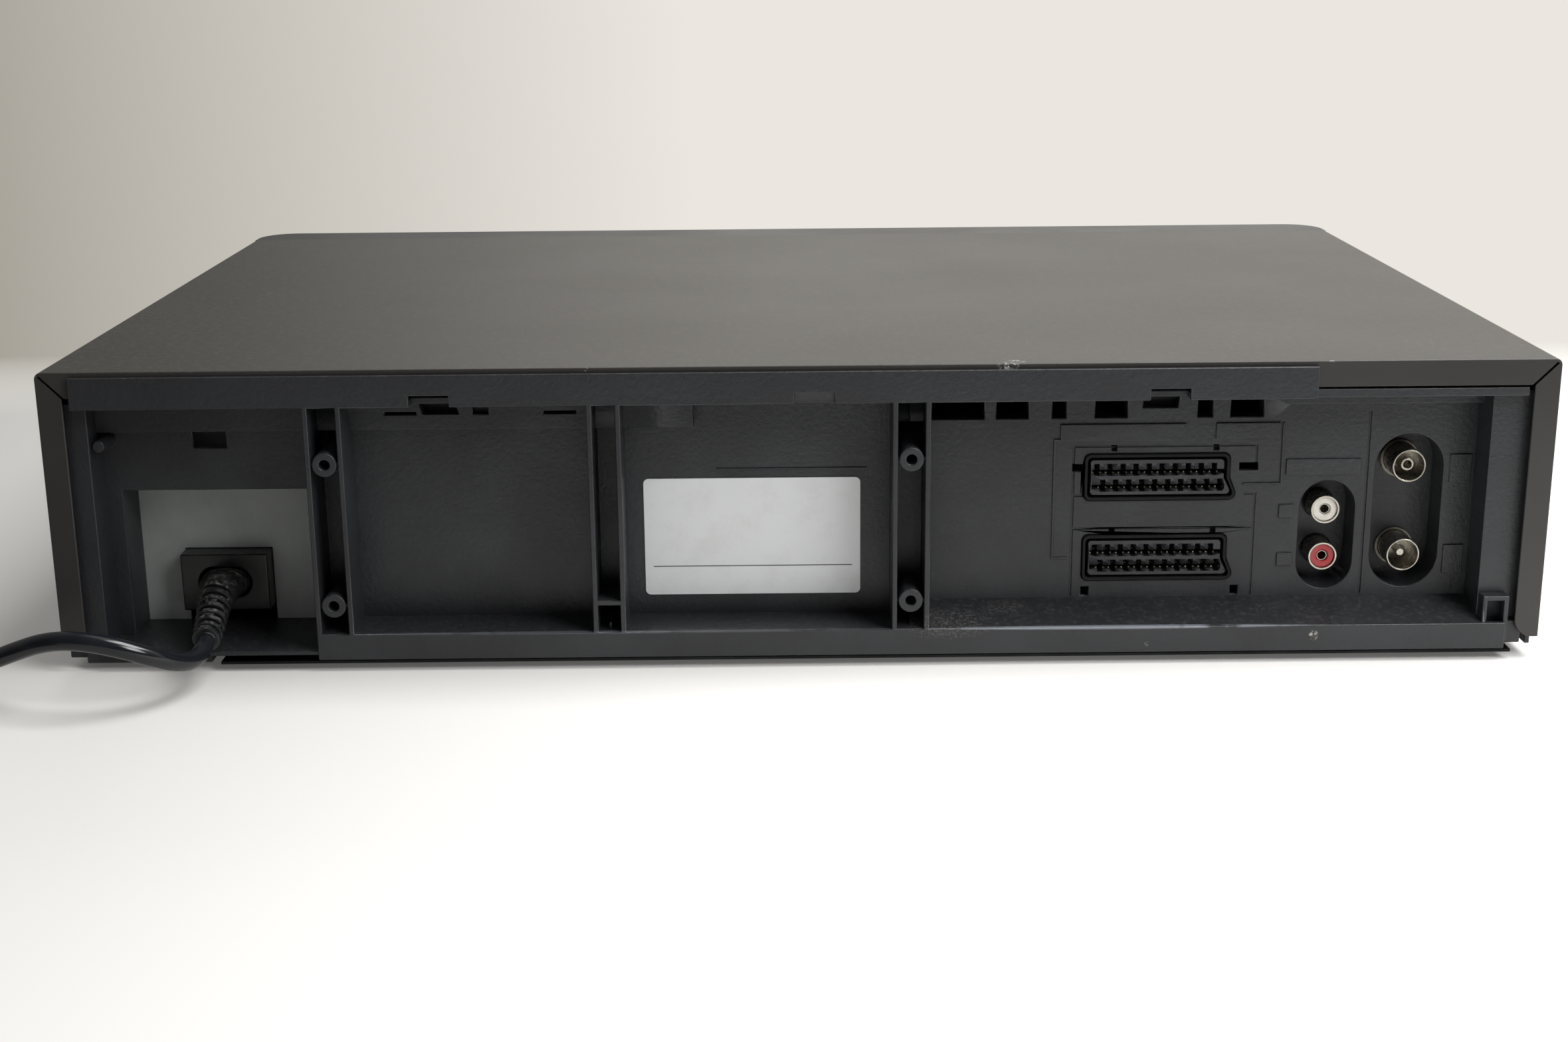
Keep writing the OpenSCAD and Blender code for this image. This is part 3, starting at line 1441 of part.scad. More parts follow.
// Reel table with its spindle
module reel_table(x) {
  color([0.85, 0.84, 0.80])
    translate([x, reel_y, deck_top])
      difference() {
        union() {
          translate([0, 0, 0.3])
            cylinder(r = 12, h = 6);
          translate([0, 0, 3])
            linear_extrude(3)
              gear_outline(reel_r, 60, 1.2);
          translate([0, 0, 6])
            cylinder(r = 13, h = 2.4);
          translate([0, 0, 8])
            cylinder(r = 6, h = 19);
          translate([0, 0, 27])
            cylinder(r1 = 6, r2 = 3.5, h = 2);
          for (a = [0, 120, 240])
            rotate([0, 0, a])
              translate([0, -1, 8])
                cube([8.5, 2, 12]);
        }
        translate([0, 0, -1])
          cylinder(r = 2.05, h = 8.6);
      }
}

module supply_reel() {
  reel_table(reel_x[0]);
}

module takeup_reel() {
  reel_table(reel_x[1]);
}

// Swinging arm that carries the idler gear
module idler_arm() {
  color([0.62, 0.62, 0.60])
    translate([idler_pivot[0], idler_pivot[1], deck_top])
      difference() {
        union() {
          translate([0, 0, 0.3])
            cylinder(r = 3.6, h = 8.2);
          translate([-4, -idler_arm_l, 7.1])
            cube([8, idler_arm_l, 1.4]);
          translate([0, -idler_arm_l, 7.1])
            cylinder(r = 4, h = 1.4);
          translate([0, -idler_arm_l, 2])
            cylinder(r = 1.5, h = 6);
        }
        translate([0, 0, -1])
          cylinder(r = 2.05, h = 12);
      }
}

module idler_gear() {
  color([0.90, 0.89, 0.86])
    translate([idler_pivot[0], idler_pivot[1] - idler_arm_l, deck_top])
      difference() {
        translate([0, 0, 3])
          linear_extrude(3)
            gear_outline(idler_r, 32, 1.2);
        translate([0, 0, 2])
          cylinder(r = 1.55, h = 5);
        for (a = [0 : 60 : 300])
          rotate([0, 0, a])
            translate([8, 0, 2])
              cylinder(r = 2.4, h = 5);
      }
}

// Puts children in the drum's leaning frame
module in_drum() {
  translate([lift_x, drum_y, deck_top + 4])
    rotate([drum_tilt, 0, 0])
      children();
}

// Fixed lower half of the head drum, on its foot
module lower_drum() {
  color([0.74, 0.75, 0.76])
    difference() {
      union() {
        translate([lift_x, drum_y, deck_top])
          cylinder(r = drum_d / 2 - 9, h = 8);
        in_drum() {
          cylinder(r = drum_d / 2, h = drum_low);
          cylinder(r = 2.5, h = drum_h + 3);
        }
      }
      in_drum()
        difference() {
          translate([0, 0, 5])
            cylinder(r = drum_d / 2 + 1, h = drum_low);
          translate([0, 0, 4])
            cylinder(r = drum_d / 2 - 0.2, h = drum_low + 2);
        }
    }
}

// Spinning upper half with its head windows
module upper_drum() {
  color([0.80, 0.81, 0.82])
    in_drum()
      difference() {
        union() {
          translate([0, 0, drum_low + drum_split])
            cylinder(r = drum_d / 2, h = drum_h - drum_low - drum_split);
          translate([0, 0, drum_h - eps])
            cylinder(r = 9, h = 2);
        }
        cylinder(r = 2.55, h = drum_h + 9);
        translate([0, 0, drum_h - 2.4])
          difference() {
            cylinder(r = drum_d / 2 - 3, h = 5);
            cylinder(r = 12, h = 5);
          }
        for (a = [0 : 90 : 270])
          rotate([0, 0, a])
            translate([drum_d / 2 - 2, -2.4, drum_low])
              cube([4, 4.8, 2.2]);
        for (a = [45 : 90 : 315])
          rotate([0, 0, a])
            translate([20, 0, drum_low])
              cylinder(r = 2, h = drum_h);
      }
}

// Bearing of the capstan on the deck
module capstan_motor() {
  color([0.70, 0.66, 0.48])
    translate([capstan_x, capstan_y, 0])
      difference() {
        union() {
          translate([0, 0, deck_z - 1.2])
            cylinder(r = 5, h = deck_t + 1.2 + bearing_h);
          translate([0, 0, deck_top])
            cylinder(r = 9, h = 1.6);
        }
        cylinder(r = capstan_r + 0.03, h = 60);
      }
}

// Capstan shaft on its flywheel
module capstan() {
  color([0.78, 0.79, 0.80])
    translate([capstan_x, capstan_y, 0]) {
      translate([0, 0, frame_z + frame_t + 1.2])
        cylinder(r = capstan_r, h = capstan_top - frame_z - frame_t - 1.2);
      difference() {
        translate([0, 0, frame_z + frame_t + 1.9])
          cylinder(r = rotor_r, h = 4.4);
        translate([0, 0, frame_z + frame_t + 4])
          difference() {
            cylinder(r = rotor_r - 3, h = 4);
            cylinder(r = 6, h = 4);
          }
      }
    }
}

// Arm that presses the pinch roller on the capstan
pinch_at = pinch_pivot + pinch_arm_l * [cos(pinch_rest), sin(pinch_rest)];

module pinch_arm() {
  color([0.60, 0.60, 0.58])
    translate([pinch_pivot[0], pinch_pivot[1], deck_top])
      difference() {
        union() {
          translate([0, 0, 0.3])
            cylinder(r = 4.6, h = 22);
          for (z = [4, 19.8])
            rotate([0, 0, pinch_rest])
              translate([3.2, -3, z])
                cube([pinch_arm_l - 3.2, 6, 1.5]);
          for (z = [4, 19.8])
            rotate([0, 0, pinch_rest])
              translate([pinch_arm_l, 0, z])
                cylinder(r = 3.4, h = 1.5);
          rotate([0, 0, pinch_rest])
            translate([pinch_arm_l, 0, 4.5])
              cylinder(r = 1.5, h = 16);
        }
        cylinder(r = 2.55, h = 40);
      }
}

module pinch_roller() {
  color([0.08, 0.08, 0.08])
    translate([pinch_at[0], pinch_at[1], deck_top + 5.8])
      difference() {
        cylinder(r = pinch_r, h = 13.7);
        translate([0, 0, -1])
          cylinder(r = 1.55, h = 16);
      }
}

// Erase head and sound head on their posts
erase_at = [lift_x - 58, drum_y - 22];
sound_at = [lift_x + 54, drum_y - 6];

module tape_heads() {
  color([0.58, 0.58, 0.60])
    for (p = [erase_at, sound_at]) {
      translate([p[0] - 3, p[1] - 3, deck_top])
        cube([6, 6, 9]);
      translate([p[0] - 5, p[1] - 4, deck_top + 9 - eps])
        cube([10, 8, 16]);
      translate([p[0], p[1] - 3.2, deck_top + 10])
        intersection() {
          cylinder(r = 4, h = 14);
          translate([-5, -9, 0])
            cube([10, 9, 14]);
        }
    }
}

// Cam gear that works the loading, with its worm and motor
cam_z = [deck_top + 5.8, deck_top + 10.8];
worm_y = cam_y + cam_r + worm_r + 0.4;
worm_z = (cam_z[0] + cam_z[1]) / 2;

module cam_gear() {
  color([0.88, 0.87, 0.82])
    translate([cam_x, cam_y, 0])
      difference() {
        union() {
          translate([0, 0, deck_top + 0.3])
            cylinder(r = 6, h = 12);
          translate([0, 0, cam_z[0]])
            linear_extrude(cam_z[1] - cam_z[0])
              gear_outline(cam_r, cam_teeth, 1.4);
        }
        cylinder(r = 2.55, h = 60);
        difference() {
          translate([0, 0, cam_z[1] - 1.5])
            cylinder(r = 13, h = 3);
          translate([2.4, 0, cam_z[1] - 2])
            cylinder(r = 9, h = 4);
        }
      }
}

module worm() {
  color([0.86, 0.85, 0.80])
    union() {
      bar_x(worm_r - 1, [cam_x - 9, cam_x + 9], worm_y, worm_z);
      for (k = [-3 : 3])
        bar_x(worm_r, [cam_x + 2.4 * k - 0.6, cam_x + 2.4 * k + 0.6], worm_y, worm_z);
      bar_x(1, [cam_x - 13, cam_x + 14], worm_y, worm_z);
    }
}

// Loading motor with the bracket that carries the worm
module loading_motor() {
  r = worm_z - deck_top - 0.2;
  color([0.66, 0.66, 0.64])
    difference() {
      union() {
        bar_x(r, [cam_x + 12.4, cam_x + 34], worm_y, worm_z);
        block([cam_x - 13, cam_x + 34], [worm_y - 3, worm_y + 5], [deck_top, deck_top + 1.2]);
        block([cam_x - 13, cam_x - 11.8], [worm_y - 3, worm_y + 5], [deck_top, worm_z + 4]);
        block([cam_x + 11.2, cam_x + 12.4 + eps], [worm_y - 5, worm_y + 5], [deck_top, worm_z + 6]);
      }
      bar_x(1.04, [cam_x - 14, cam_x + 16], worm_y, worm_z);
    }
}

top_cover();
rear_panel();
front_panel();
display_window();
display_tube();
front_board();
power_button();
eject_button();
rewind_button();
play_button();
forward_button();
stop_button();
record_button();
channel_rocker();
cassette_door();
main_frame();
bottom_plate();
feet();
cover_screws();
rating_label();
scart_upper();
scart_lower();
scart_contacts();
phono_block();
phono_shells();
phono_inserts();
tuner_can();
aerial_input();
aerial_output();
main_board();
power_board();
power_transformer();
heatsink();
insulation_plate();
mains_inlet();
cord_connector();
mains_cord();
cord_coil();
cord_tie();
mains_plug();
deck_plate();
left_guide();
right_guide();
lift_sides();
cassette_slider();
cassette_tray();
supply_reel();
takeup_reel();
idler_arm();
idler_gear();
lower_drum();
upper_drum();
capstan_motor();
capstan();
pinch_arm();
pinch_roller();
tape_heads();
cam_gear();
worm();
loading_motor();
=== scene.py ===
import bmesh
import bpy
import json
import math
from mathutils import Matrix, Vector


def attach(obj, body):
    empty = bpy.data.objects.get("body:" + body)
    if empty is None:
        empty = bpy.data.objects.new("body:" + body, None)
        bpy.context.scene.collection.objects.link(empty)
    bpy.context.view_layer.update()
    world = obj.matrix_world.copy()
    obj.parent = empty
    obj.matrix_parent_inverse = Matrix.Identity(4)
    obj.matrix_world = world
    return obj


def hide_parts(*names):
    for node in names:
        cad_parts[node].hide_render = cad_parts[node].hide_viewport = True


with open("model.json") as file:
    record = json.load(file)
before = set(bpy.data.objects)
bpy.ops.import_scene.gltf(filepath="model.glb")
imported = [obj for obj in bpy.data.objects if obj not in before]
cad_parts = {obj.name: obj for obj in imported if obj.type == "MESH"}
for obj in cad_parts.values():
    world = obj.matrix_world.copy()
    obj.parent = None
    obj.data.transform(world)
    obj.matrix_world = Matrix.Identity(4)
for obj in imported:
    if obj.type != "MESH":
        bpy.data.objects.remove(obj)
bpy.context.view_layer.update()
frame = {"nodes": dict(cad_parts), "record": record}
mm = 0.001
bodyOf = {n: body for body, nodes in frame["record"]["behaviour"]["bodies"].items() for n in nodes}

# the camera stands behind the recorder and a little above it: millimetres and degrees
view = {"place": (6.5, 722.8, 207.3), "yaw": -0.185, "pitch": -15.709, "roll": -0.514, "lens": 48.37,
        "sensor": 36}

yaw, pitch, roll = (math.radians(view[k]) for k in ("yaw", "pitch", "roll"))
ahead = Vector((math.sin(yaw) * math.cos(pitch), -math.cos(yaw) * math.cos(pitch), math.sin(pitch)))
side = ahead.cross(Vector((0, 0, 1))).normalized()
over = side.cross(ahead)
right = side * math.cos(roll) + over * math.sin(roll)
up = over * math.cos(roll) - side * math.sin(roll)
bpy.ops.object.camera_add(location=Vector(view["place"]) * mm,
                          rotation=Matrix((right, up, -ahead)).transposed().to_euler())
camera = bpy.context.object
camera.name = "rearCamera"
camera.data.sensor_width = view["sensor"]
camera.data.lens = view["lens"]
bpy.context.scene.camera = camera
print("camera set")

# the lead is one length, from the strain relief through its coil to the plug
lead = {
    "thick": 5.4, "roundness": 5,
    "route": [
        (171.4, 148, 11.2), (171.2, 154, 10.0), (172.1, 161.2, 10.3), (174.7, 168.3, 12.5),
        (179.4, 174.0, 16.0), (185.9, 177.4, 19.4), (193.4, 178.6, 21.6), (201.2, 177.8, 22.0),
        (209.1, 175.0, 20.3), (217.3, 170.8, 16.8), (225.9, 166.2, 12.7), (234.7, 162.1, 8.8),
        (243.5, 159.2, 5.9), (252, 158, 4.4), (260, 158, 4), (268, 158, 4), (274.6, 158, 4)],
    "routeSteps": 4,
    "coilStart": (280, 158), "coilRadius": 31.4, "coilPitch": 5.9, "coilTurns": 3.25, "coilLift": 4.0,
    "pointsPerTurn": 48,
    "tail": 40, "tailSteps": 12, "tailFall": (10, 34), "plugHeight": 6.85,
}


def smoothRoute(points, steps):                     # a smooth line through the points
    ends = [points[0] * 2 - points[1], *points, points[-1] * 2 - points[-2]]
    out = []
    for k in range(1, len(ends) - 2):
        a, b, c, d = ends[k - 1:k + 3]
        for s in range(steps):
            t = s / steps
            out.append((b * 2 + (c - a) * t + (a * 2 - b * 5 + c * 4 - d) * t * t
                        + (b * 3 - a - c * 3 + d) * t ** 3) / 2)
    return out + [points[-1]]


def coilPoint(t):                                   # where the lead is after t turns of the coil
    turns, pitch = lead["coilTurns"], lead["coilPitch"]
    outer, inner = lead["coilRadius"] + pitch * turns / 2, lead["coilRadius"] - pitch * turns / 2
    if t < turns:                                   # in along the lower layer
        radius, height = outer - pitch * t, lead["coilLift"]
    elif t < turns + 0.5:                           # up to the upper layer in half a turn
        part = 2 * math.pi * (t - turns)
        radius = inner - pitch / (2 * math.pi) * math.sin(part)
        height = lead["coilLift"] + pitch * (1 - math.cos(part)) / 2
    else:                                           # and out again
        radius, height = inner + pitch * (t - turns - 0.5), lead["coilLift"] + pitch
    x, y = lead["coilStart"]
    turned = 2 * math.pi * t
    return Vector((x + radius * math.sin(turned), y + outer - radius * math.cos(turned), height))


leadLine = smoothRoute([Vector(p) for p in lead["route"]], lead["routeSteps"])
coilSteps = int((2 * lead["coilTurns"] + 0.5) * lead["pointsPerTurn"])
leadLine += [coilPoint(k / lead["pointsPerTurn"]) for k in range(coilSteps + 1)]
tailTop = lead["coilLift"] + lead["coilPitch"]
fallStart, fallEnd = lead["tailFall"]
for k in range(1, lead["tailSteps"] + 1):           # the tail comes down from the upper layer to the plug
    s = k * lead["tail"] / lead["tailSteps"]
    fall = min(1, max(0, (s - fallStart) / (fallEnd - fallStart)))
    drop = (tailTop - lead["plugHeight"]) * (1 + math.cos(math.pi * fall)) / 2
    leadLine.append(Vector((lead["coilStart"][0] + s, lead["coilStart"][1], lead["plugHeight"] + drop)))
leadLine = [p * mm for p in leadLine]

curve = bpy.data.curves.new("mainsLead", "CURVE")
curve.dimensions = "3D"
curve.bevel_depth = lead["thick"] * mm / 2
curve.bevel_resolution = lead["roundness"]
curve.use_fill_caps = True
spline = curve.splines.new("POLY")
spline.points.add(len(leadLine) - 1)
for point, place in zip(spline.points, leadLine):
    point.co = (*place, 1)
spline.use_smooth = True
mainsLead = bpy.data.objects.new("mainsLead", curve)
bpy.context.collection.objects.link(mainsLead)
bpy.ops.object.select_all(action="DESELECT")
mainsLead.select_set(True)
bpy.context.view_layer.objects.active = mainsLead
bpy.ops.object.convert(target="MESH")
mainsLead = bpy.context.object
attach(mainsLead, "cabinet")
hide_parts("mains_cord", "cord_coil")


def toLinear(colour):
    parts = [int(colour[k:k + 2], 16) / 255 for k in (1, 3, 5)]
    return [c / 12.92 if c <= 0.04045 else ((c + 0.055) / 1.055) ** 2.4 for c in parts] + [1]


def addNode(material, kind, inputs, out=0, **settings):
    node = material.node_tree.nodes.new("ShaderNode" + kind)
    for key, value in settings.items():
        setattr(node, key, value)
    for key, value in inputs.items():
        if isinstance(value, bpy.types.NodeSocket):
            material.node_tree.links.new(value, node.inputs[key])
        else:
            node.inputs[key].default_value = toLinear(value) if isinstance(value, str) else value
    return node.outputs[out]


def newMaterial(name, **sockets):                   # values that are the same all over the surface
    material = bpy.data.materials.new(name)
    material.use_nodes = True
    shader = material.node_tree.nodes["Principled BSDF"]
    for key, value in sockets.items():
        value = toLinear(value) if isinstance(value, str) else value
        shader.inputs[key.replace("_", " ")].default_value = value
    return material


def feed(material, **sockets):                      # links into the material's own shader
    shader = material.node_tree.nodes["Principled BSDF"]
    for key, socket in sockets.items():
        material.node_tree.links.new(socket, shader.inputs[key.replace("_", " ")])


def span(ends):                                     # the range that a Map Range node reads
    return {"From Min": ends[0], "From Max": ends[1]}


noiseSpan = span((0.35, 0.65))                      # a noise texture mostly stays within this
# the sizes of patterns below are in mm, so a noise has the scale 1000 / size


def stovedEnamel():
    # enamel sprayed and stoved on sheet steel: satin, with an orange peel that blurs the lamps, fine dust
    # on top, and pale primer where it is nicked
    look = {"colour": "#2d2b29", "smudge": "#32302d", "smudgeSize": 71.4, "rough": (0.37, 0.41),
            "dust": "#a09b92", "dustShare": 0.12, "speck": 2.222, "peel": 0.8, "peelDepth": 0.02,
            "primer": "#cbc8c2", "flake": 1.111,
            "nicks": [(-59, 141.2, 88.6, 3.4), (-62, 138, 89, 2.2), (-60.4, 136.4, 89, 1.4),
                      (60, 141.3, 88.7, 0.8), (-150, 141.3, 88.8, 0.9)]}    # x, y, z and radius
    material = newMaterial("stovedEnamel", IOR=1.5)
    place = addNode(material, "TexCoord", {}, "Object")
    wide = addNode(material, "TexNoise", {"Vector": place, "Scale": 1000 / look["smudgeSize"], "Detail": 4.0})
    clouds = addNode(material, "MapRange", {"Value": wide, **noiseSpan})
    colour = addNode(material, "Mix", {0: clouds, 6: look["colour"], 7: look["smudge"]}, 2,
                     data_type="RGBA")
    specks = addNode(material, "TexNoise", {"Vector": place, "Scale": 1000 / look["speck"], "Detail": 5.0,
                                            "Roughness": 0.7})
    fine = addNode(material, "MapRange", {"Value": specks, "From Min": 0.5, "From Max": 0.8,
                                          "To Max": look["dustShare"]})
    normal = addNode(material, "NewGeometry", {}, "Normal")
    upward = addNode(material, "SeparateXYZ", {0: normal}, 2)
    dust = addNode(material, "Math", {0: fine, 1: upward}, operation="MULTIPLY", use_clamp=True)
    colour = addNode(material, "Mix", {0: dust, 6: colour, 7: look["dust"]}, 2, data_type="RGBA")
    chips = addNode(material, "TexNoise", {"Vector": place, "Scale": 1000 / look["flake"], "Detail": 3.0,
                                           "Roughness": 0.7})
    chips = addNode(material, "MapRange", {"Value": chips, "From Min": 0.52, "From Max": 0.6})
    for x, y, z, radius in look["nicks"]:
        apart = addNode(material, "VectorMath", {0: place, 1: Vector((x, y, z)) * mm}, 1,
                        operation="DISTANCE")
        near = addNode(material, "MapRange", {"Value": apart, "From Max": radius * mm, "To Min": 1.0,
                                              "To Max": 0.0})
        chip = addNode(material, "Math", {0: near, 1: chips}, operation="MULTIPLY")
        colour = addNode(material, "Mix", {0: chip, 6: colour, 7: look["primer"]}, 2, data_type="RGBA")
    rough = addNode(material, "MapRange", {"Value": wide, **noiseSpan, "To Min": look["rough"][0],
                                           "To Max": look["rough"][1]})
    peel = addNode(material, "TexNoise", {"Vector": place, "Scale": 1000 / look["peel"], "Detail": 3.0})
    bump = addNode(material, "Bump", {"Height": peel, "Distance": look["peelDepth"] * mm, "Strength": 0.5})
    feed(material, Base_Color=colour, Roughness=rough, Normal=bump)
    return material


mouldedDust = {"speck": 1.613, "lint": "#99958d", "facing": (0.2, 0.9), "upright": 0.04}


def moulded(name, colour, worn, rough=(0.5, 0.42), patch=38, grain=1.1, depth=0.0, dust=0.0,
            lint=mouldedDust["lint"], marks=(), ior=1.53):
    # thermoplastic: grain is what the tool's surface left, worn is where hands and cloths polished it paler,
    # dust settles on what faces up, and marks are scuffs and painted highlights along edges, each fading out
    # from its middle
    material = newMaterial(name, IOR=ior)
    place = addNode(material, "TexCoord", {}, "Object")
    patches = addNode(material, "TexNoise", {"Vector": place, "Scale": 1000 / patch, "Detail": 5.0,
                                             "Roughness": 0.6})
    rubbed = addNode(material, "MapRange", {"Value": patches, "From Min": 0.4, "From Max": 0.72})
    shade = addNode(material, "Mix", {0: rubbed, 6: colour, 7: worn}, 2, data_type="RGBA")
    if dust:
        specks = addNode(material, "TexNoise", {"Vector": place, "Scale": 1000 / mouldedDust["speck"],
                                                "Detail": 6.0, "Roughness": 0.75})
        fine = addNode(material, "MapRange", {"Value": specks, "From Min": 0.5, "From Max": 0.75,
                                              "To Max": dust})
        normal = addNode(material, "NewGeometry", {}, "Normal")
        upward = addNode(material, "SeparateXYZ", {0: normal}, 2)
        upward = addNode(material, "MapRange", {"Value": upward, **span(mouldedDust["facing"]),
                                                "To Min": mouldedDust["upright"]})
        fine = addNode(material, "Math", {0: fine, 1: upward}, operation="MULTIPLY")
        shade = addNode(material, "Mix", {0: fine, 6: shade, 7: lint}, 2, data_type="RGBA")
    sheen = addNode(material, "MapRange", {"Value": patches, **noiseSpan, "To Min": rough[0],
                                           "To Max": rough[1]})
    for middle, half, pale, share, spot, gaps in marks:
        apart = addNode(material, "VectorMath", {0: place, 1: Vector(middle) * mm}, operation="SUBTRACT")
        apart = addNode(material, "VectorMath", {0: apart, 1: Vector(half) * mm}, operation="DIVIDE")
        apart = addNode(material, "VectorMath", {0: apart}, 1, operation="LENGTH")
        near = addNode(material, "MapRange", {"Value": apart, "From Min": 0.6, "From Max": 1.0,
                                              "To Min": share, "To Max": 0.0})
        broken = addNode(material, "TexNoise", {"Vector": place, "Scale": 1000 / spot, "Detail": 4.0,
                                                "Roughness": 0.7})
        broken = addNode(material, "MapRange", {"Value": broken, "From Min": gaps, "From Max": gaps + 0.12})
        mark = addNode(material, "Math", {0: near, 1: broken}, operation="MULTIPLY")
        shade = addNode(material, "Mix", {0: mark, 6: shade, 7: pale}, 2, data_type="RGBA")
    feed(material, Base_Color=shade, Roughness=sheen)
    if depth:
        pits = addNode(material, "TexNoise", {"Vector": place, "Scale": 1000 / grain, "Detail": 4.0,
                                              "Roughness": 0.65})
        bump = addNode(material, "Bump", {"Height": pits, "Distance": depth * mm, "Strength": 0.6})
        feed(material, Normal=bump)
    return material


def metal(name, colour, tarnish, rough=(0.24, 0.36), stretch=(1, 1, 1), marks=1.2, depth=0.004, stain=22.22):
    # bare or plated metal: marks run along the way it was rolled or turned, stains lie across them
    material = newMaterial(name, Metallic=1.0)
    place = addNode(material, "TexCoord", {}, "Object")
    along = addNode(material, "Mapping", {"Vector": place, "Scale": stretch})
    lines = addNode(material, "TexNoise", {"Vector": along, "Scale": 1000 / marks, "Detail": 4.0})
    stains = addNode(material, "TexNoise", {"Vector": place, "Scale": 1000 / stain, "Detail": 5.0,
                                            "Roughness": 0.6})
    stains = addNode(material, "MapRange", {"Value": stains, "From Min": 0.4, "From Max": 0.7, "To Max": 0.6})
    shade = addNode(material, "Mix", {0: stains, 6: colour, 7: tarnish}, 2, data_type="RGBA")
    sheen = addNode(material, "MapRange", {"Value": lines, **noiseSpan, "To Min": rough[0],
                                           "To Max": rough[1]})
    bump = addNode(material, "Bump", {"Height": lines, "Distance": depth * mm, "Strength": 0.4})
    feed(material, Base_Color=shade, Roughness=sheen, Normal=bump)
    return material


def printedFoil():
    # metallised film: pale satin, rolled grain, one printed rule where the lines of type would end
    look = {"foil": "#dadcdd", "smear": "#c6c7c6", "ink": "#3a3a3c", "grain": 0.625, "smearSize": 12.5,
            "ruleHeight": 26.0, "ruleWidth": 0.3, "ruleEnds": (-15.4, 43.2)}
    material = newMaterial("printedFoil", Metallic=0.15, Roughness=0.42, IOR=1.5)
    place = addNode(material, "TexCoord", {}, "Object")
    rolled = addNode(material, "Mapping", {"Vector": place, "Scale": (0.15, 1, 1)})
    grain = addNode(material, "TexNoise", {"Vector": rolled, "Scale": 1000 / look["grain"], "Detail": 3.0})
    hands = addNode(material, "TexNoise", {"Vector": place, "Scale": 1000 / look["smearSize"],
                                           "Detail": 5.0, "Roughness": 0.7})
    hands = addNode(material, "MapRange", {"Value": hands, "From Min": 0.48, "From Max": 0.75, "To Max": 0.5})
    shade = addNode(material, "Mix", {0: hands, 6: look["foil"], 7: look["smear"]}, 2, data_type="RGBA")
    x = addNode(material, "SeparateXYZ", {0: place}, 0)
    z = addNode(material, "SeparateXYZ", {0: place}, 2)
    middle = sum(look["ruleEnds"]) / 2
    inRule = addNode(material, "Math", {0: z, 1: look["ruleHeight"] * mm, 2: look["ruleWidth"] * mm / 2},
                     operation="COMPARE")
    inEnds = addNode(material, "Math", {0: x, 1: middle * mm, 2: (look["ruleEnds"][1] - middle) * mm},
                     operation="COMPARE")
    ink = addNode(material, "Math", {0: inRule, 1: inEnds}, operation="MULTIPLY")
    shade = addNode(material, "Mix", {0: ink, 6: shade, 7: look["ink"]}, 2, data_type="RGBA")
    bump = addNode(material, "Bump", {"Height": grain, "Distance": 0.004 * mm, "Strength": 0.3})
    feed(material, Base_Color=shade, Normal=bump)
    return material


def fibreBoard():
    # vulcanised fibre: flat grey and dull, short pressed fibres, faint stains
    look = {"colour": "#969997", "pale": "#a1a5a3", "stain": "#868987", "fibre": 0.9, "stainSize": 16.67}
    material = newMaterial("greyFibreBoard", Roughness=0.78, IOR=1.5)
    place = addNode(material, "TexCoord", {}, "Object")
    drawn = addNode(material, "Mapping", {"Vector": place, "Scale": (1, 1, 0.25)})
    fibres = addNode(material, "TexNoise", {"Vector": drawn, "Scale": 1000 / look["fibre"], "Detail": 5.0})
    stain = addNode(material, "TexNoise", {"Vector": place, "Scale": 1000 / look["stainSize"],
                                           "Detail": 4.0})
    stain = addNode(material, "MapRange", {"Value": stain, "From Min": 0.4, "From Max": 0.7, "To Max": 0.6})
    shade = addNode(material, "Mix", {0: fibres, 6: look["colour"], 7: look["pale"]}, 2, data_type="RGBA")
    shade = addNode(material, "Mix", {0: stain, 6: shade, 7: look["stain"]}, 2, data_type="RGBA")
    bump = addNode(material, "Bump", {"Height": fibres, "Distance": 0.03 * mm, "Strength": 0.4})
    feed(material, Base_Color=shade, Normal=bump)
    return material


def circuitBoard(name, colour, track, top=1000):
    # laminate under solder resist: glossy, its copper tracks raised and paler; components stand above its top
    look = {"sleeve": "#20242c", "grid": 11.11, "trackWidth": 0.016}
    material = newMaterial(name, Roughness=0.35, IOR=1.55)
    place = addNode(material, "TexCoord", {}, "Object")
    tracks = addNode(material, "TexBrick", {"Vector": place, "Scale": 1000 / look["grid"],
                                            "Mortar Size": look["trackWidth"], "Color1": "#000000",
                                            "Color2": "#333333", "Mortar": "#ffffff"})
    shade = addNode(material, "Mix", {0: tracks, 6: colour, 7: track}, 2, data_type="RGBA")
    height = addNode(material, "SeparateXYZ", {0: place}, 2)
    above = addNode(material, "Math", {0: height, 1: (top + 0.05) * mm}, operation="GREATER_THAN")
    shade = addNode(material, "Mix", {0: above, 6: shade, 7: look["sleeve"]}, 2, data_type="RGBA")
    bump = addNode(material, "Bump", {"Height": tracks, "Distance": 0.03 * mm, "Strength": 0.5})
    feed(material, Base_Color=shade, Normal=bump)
    return material


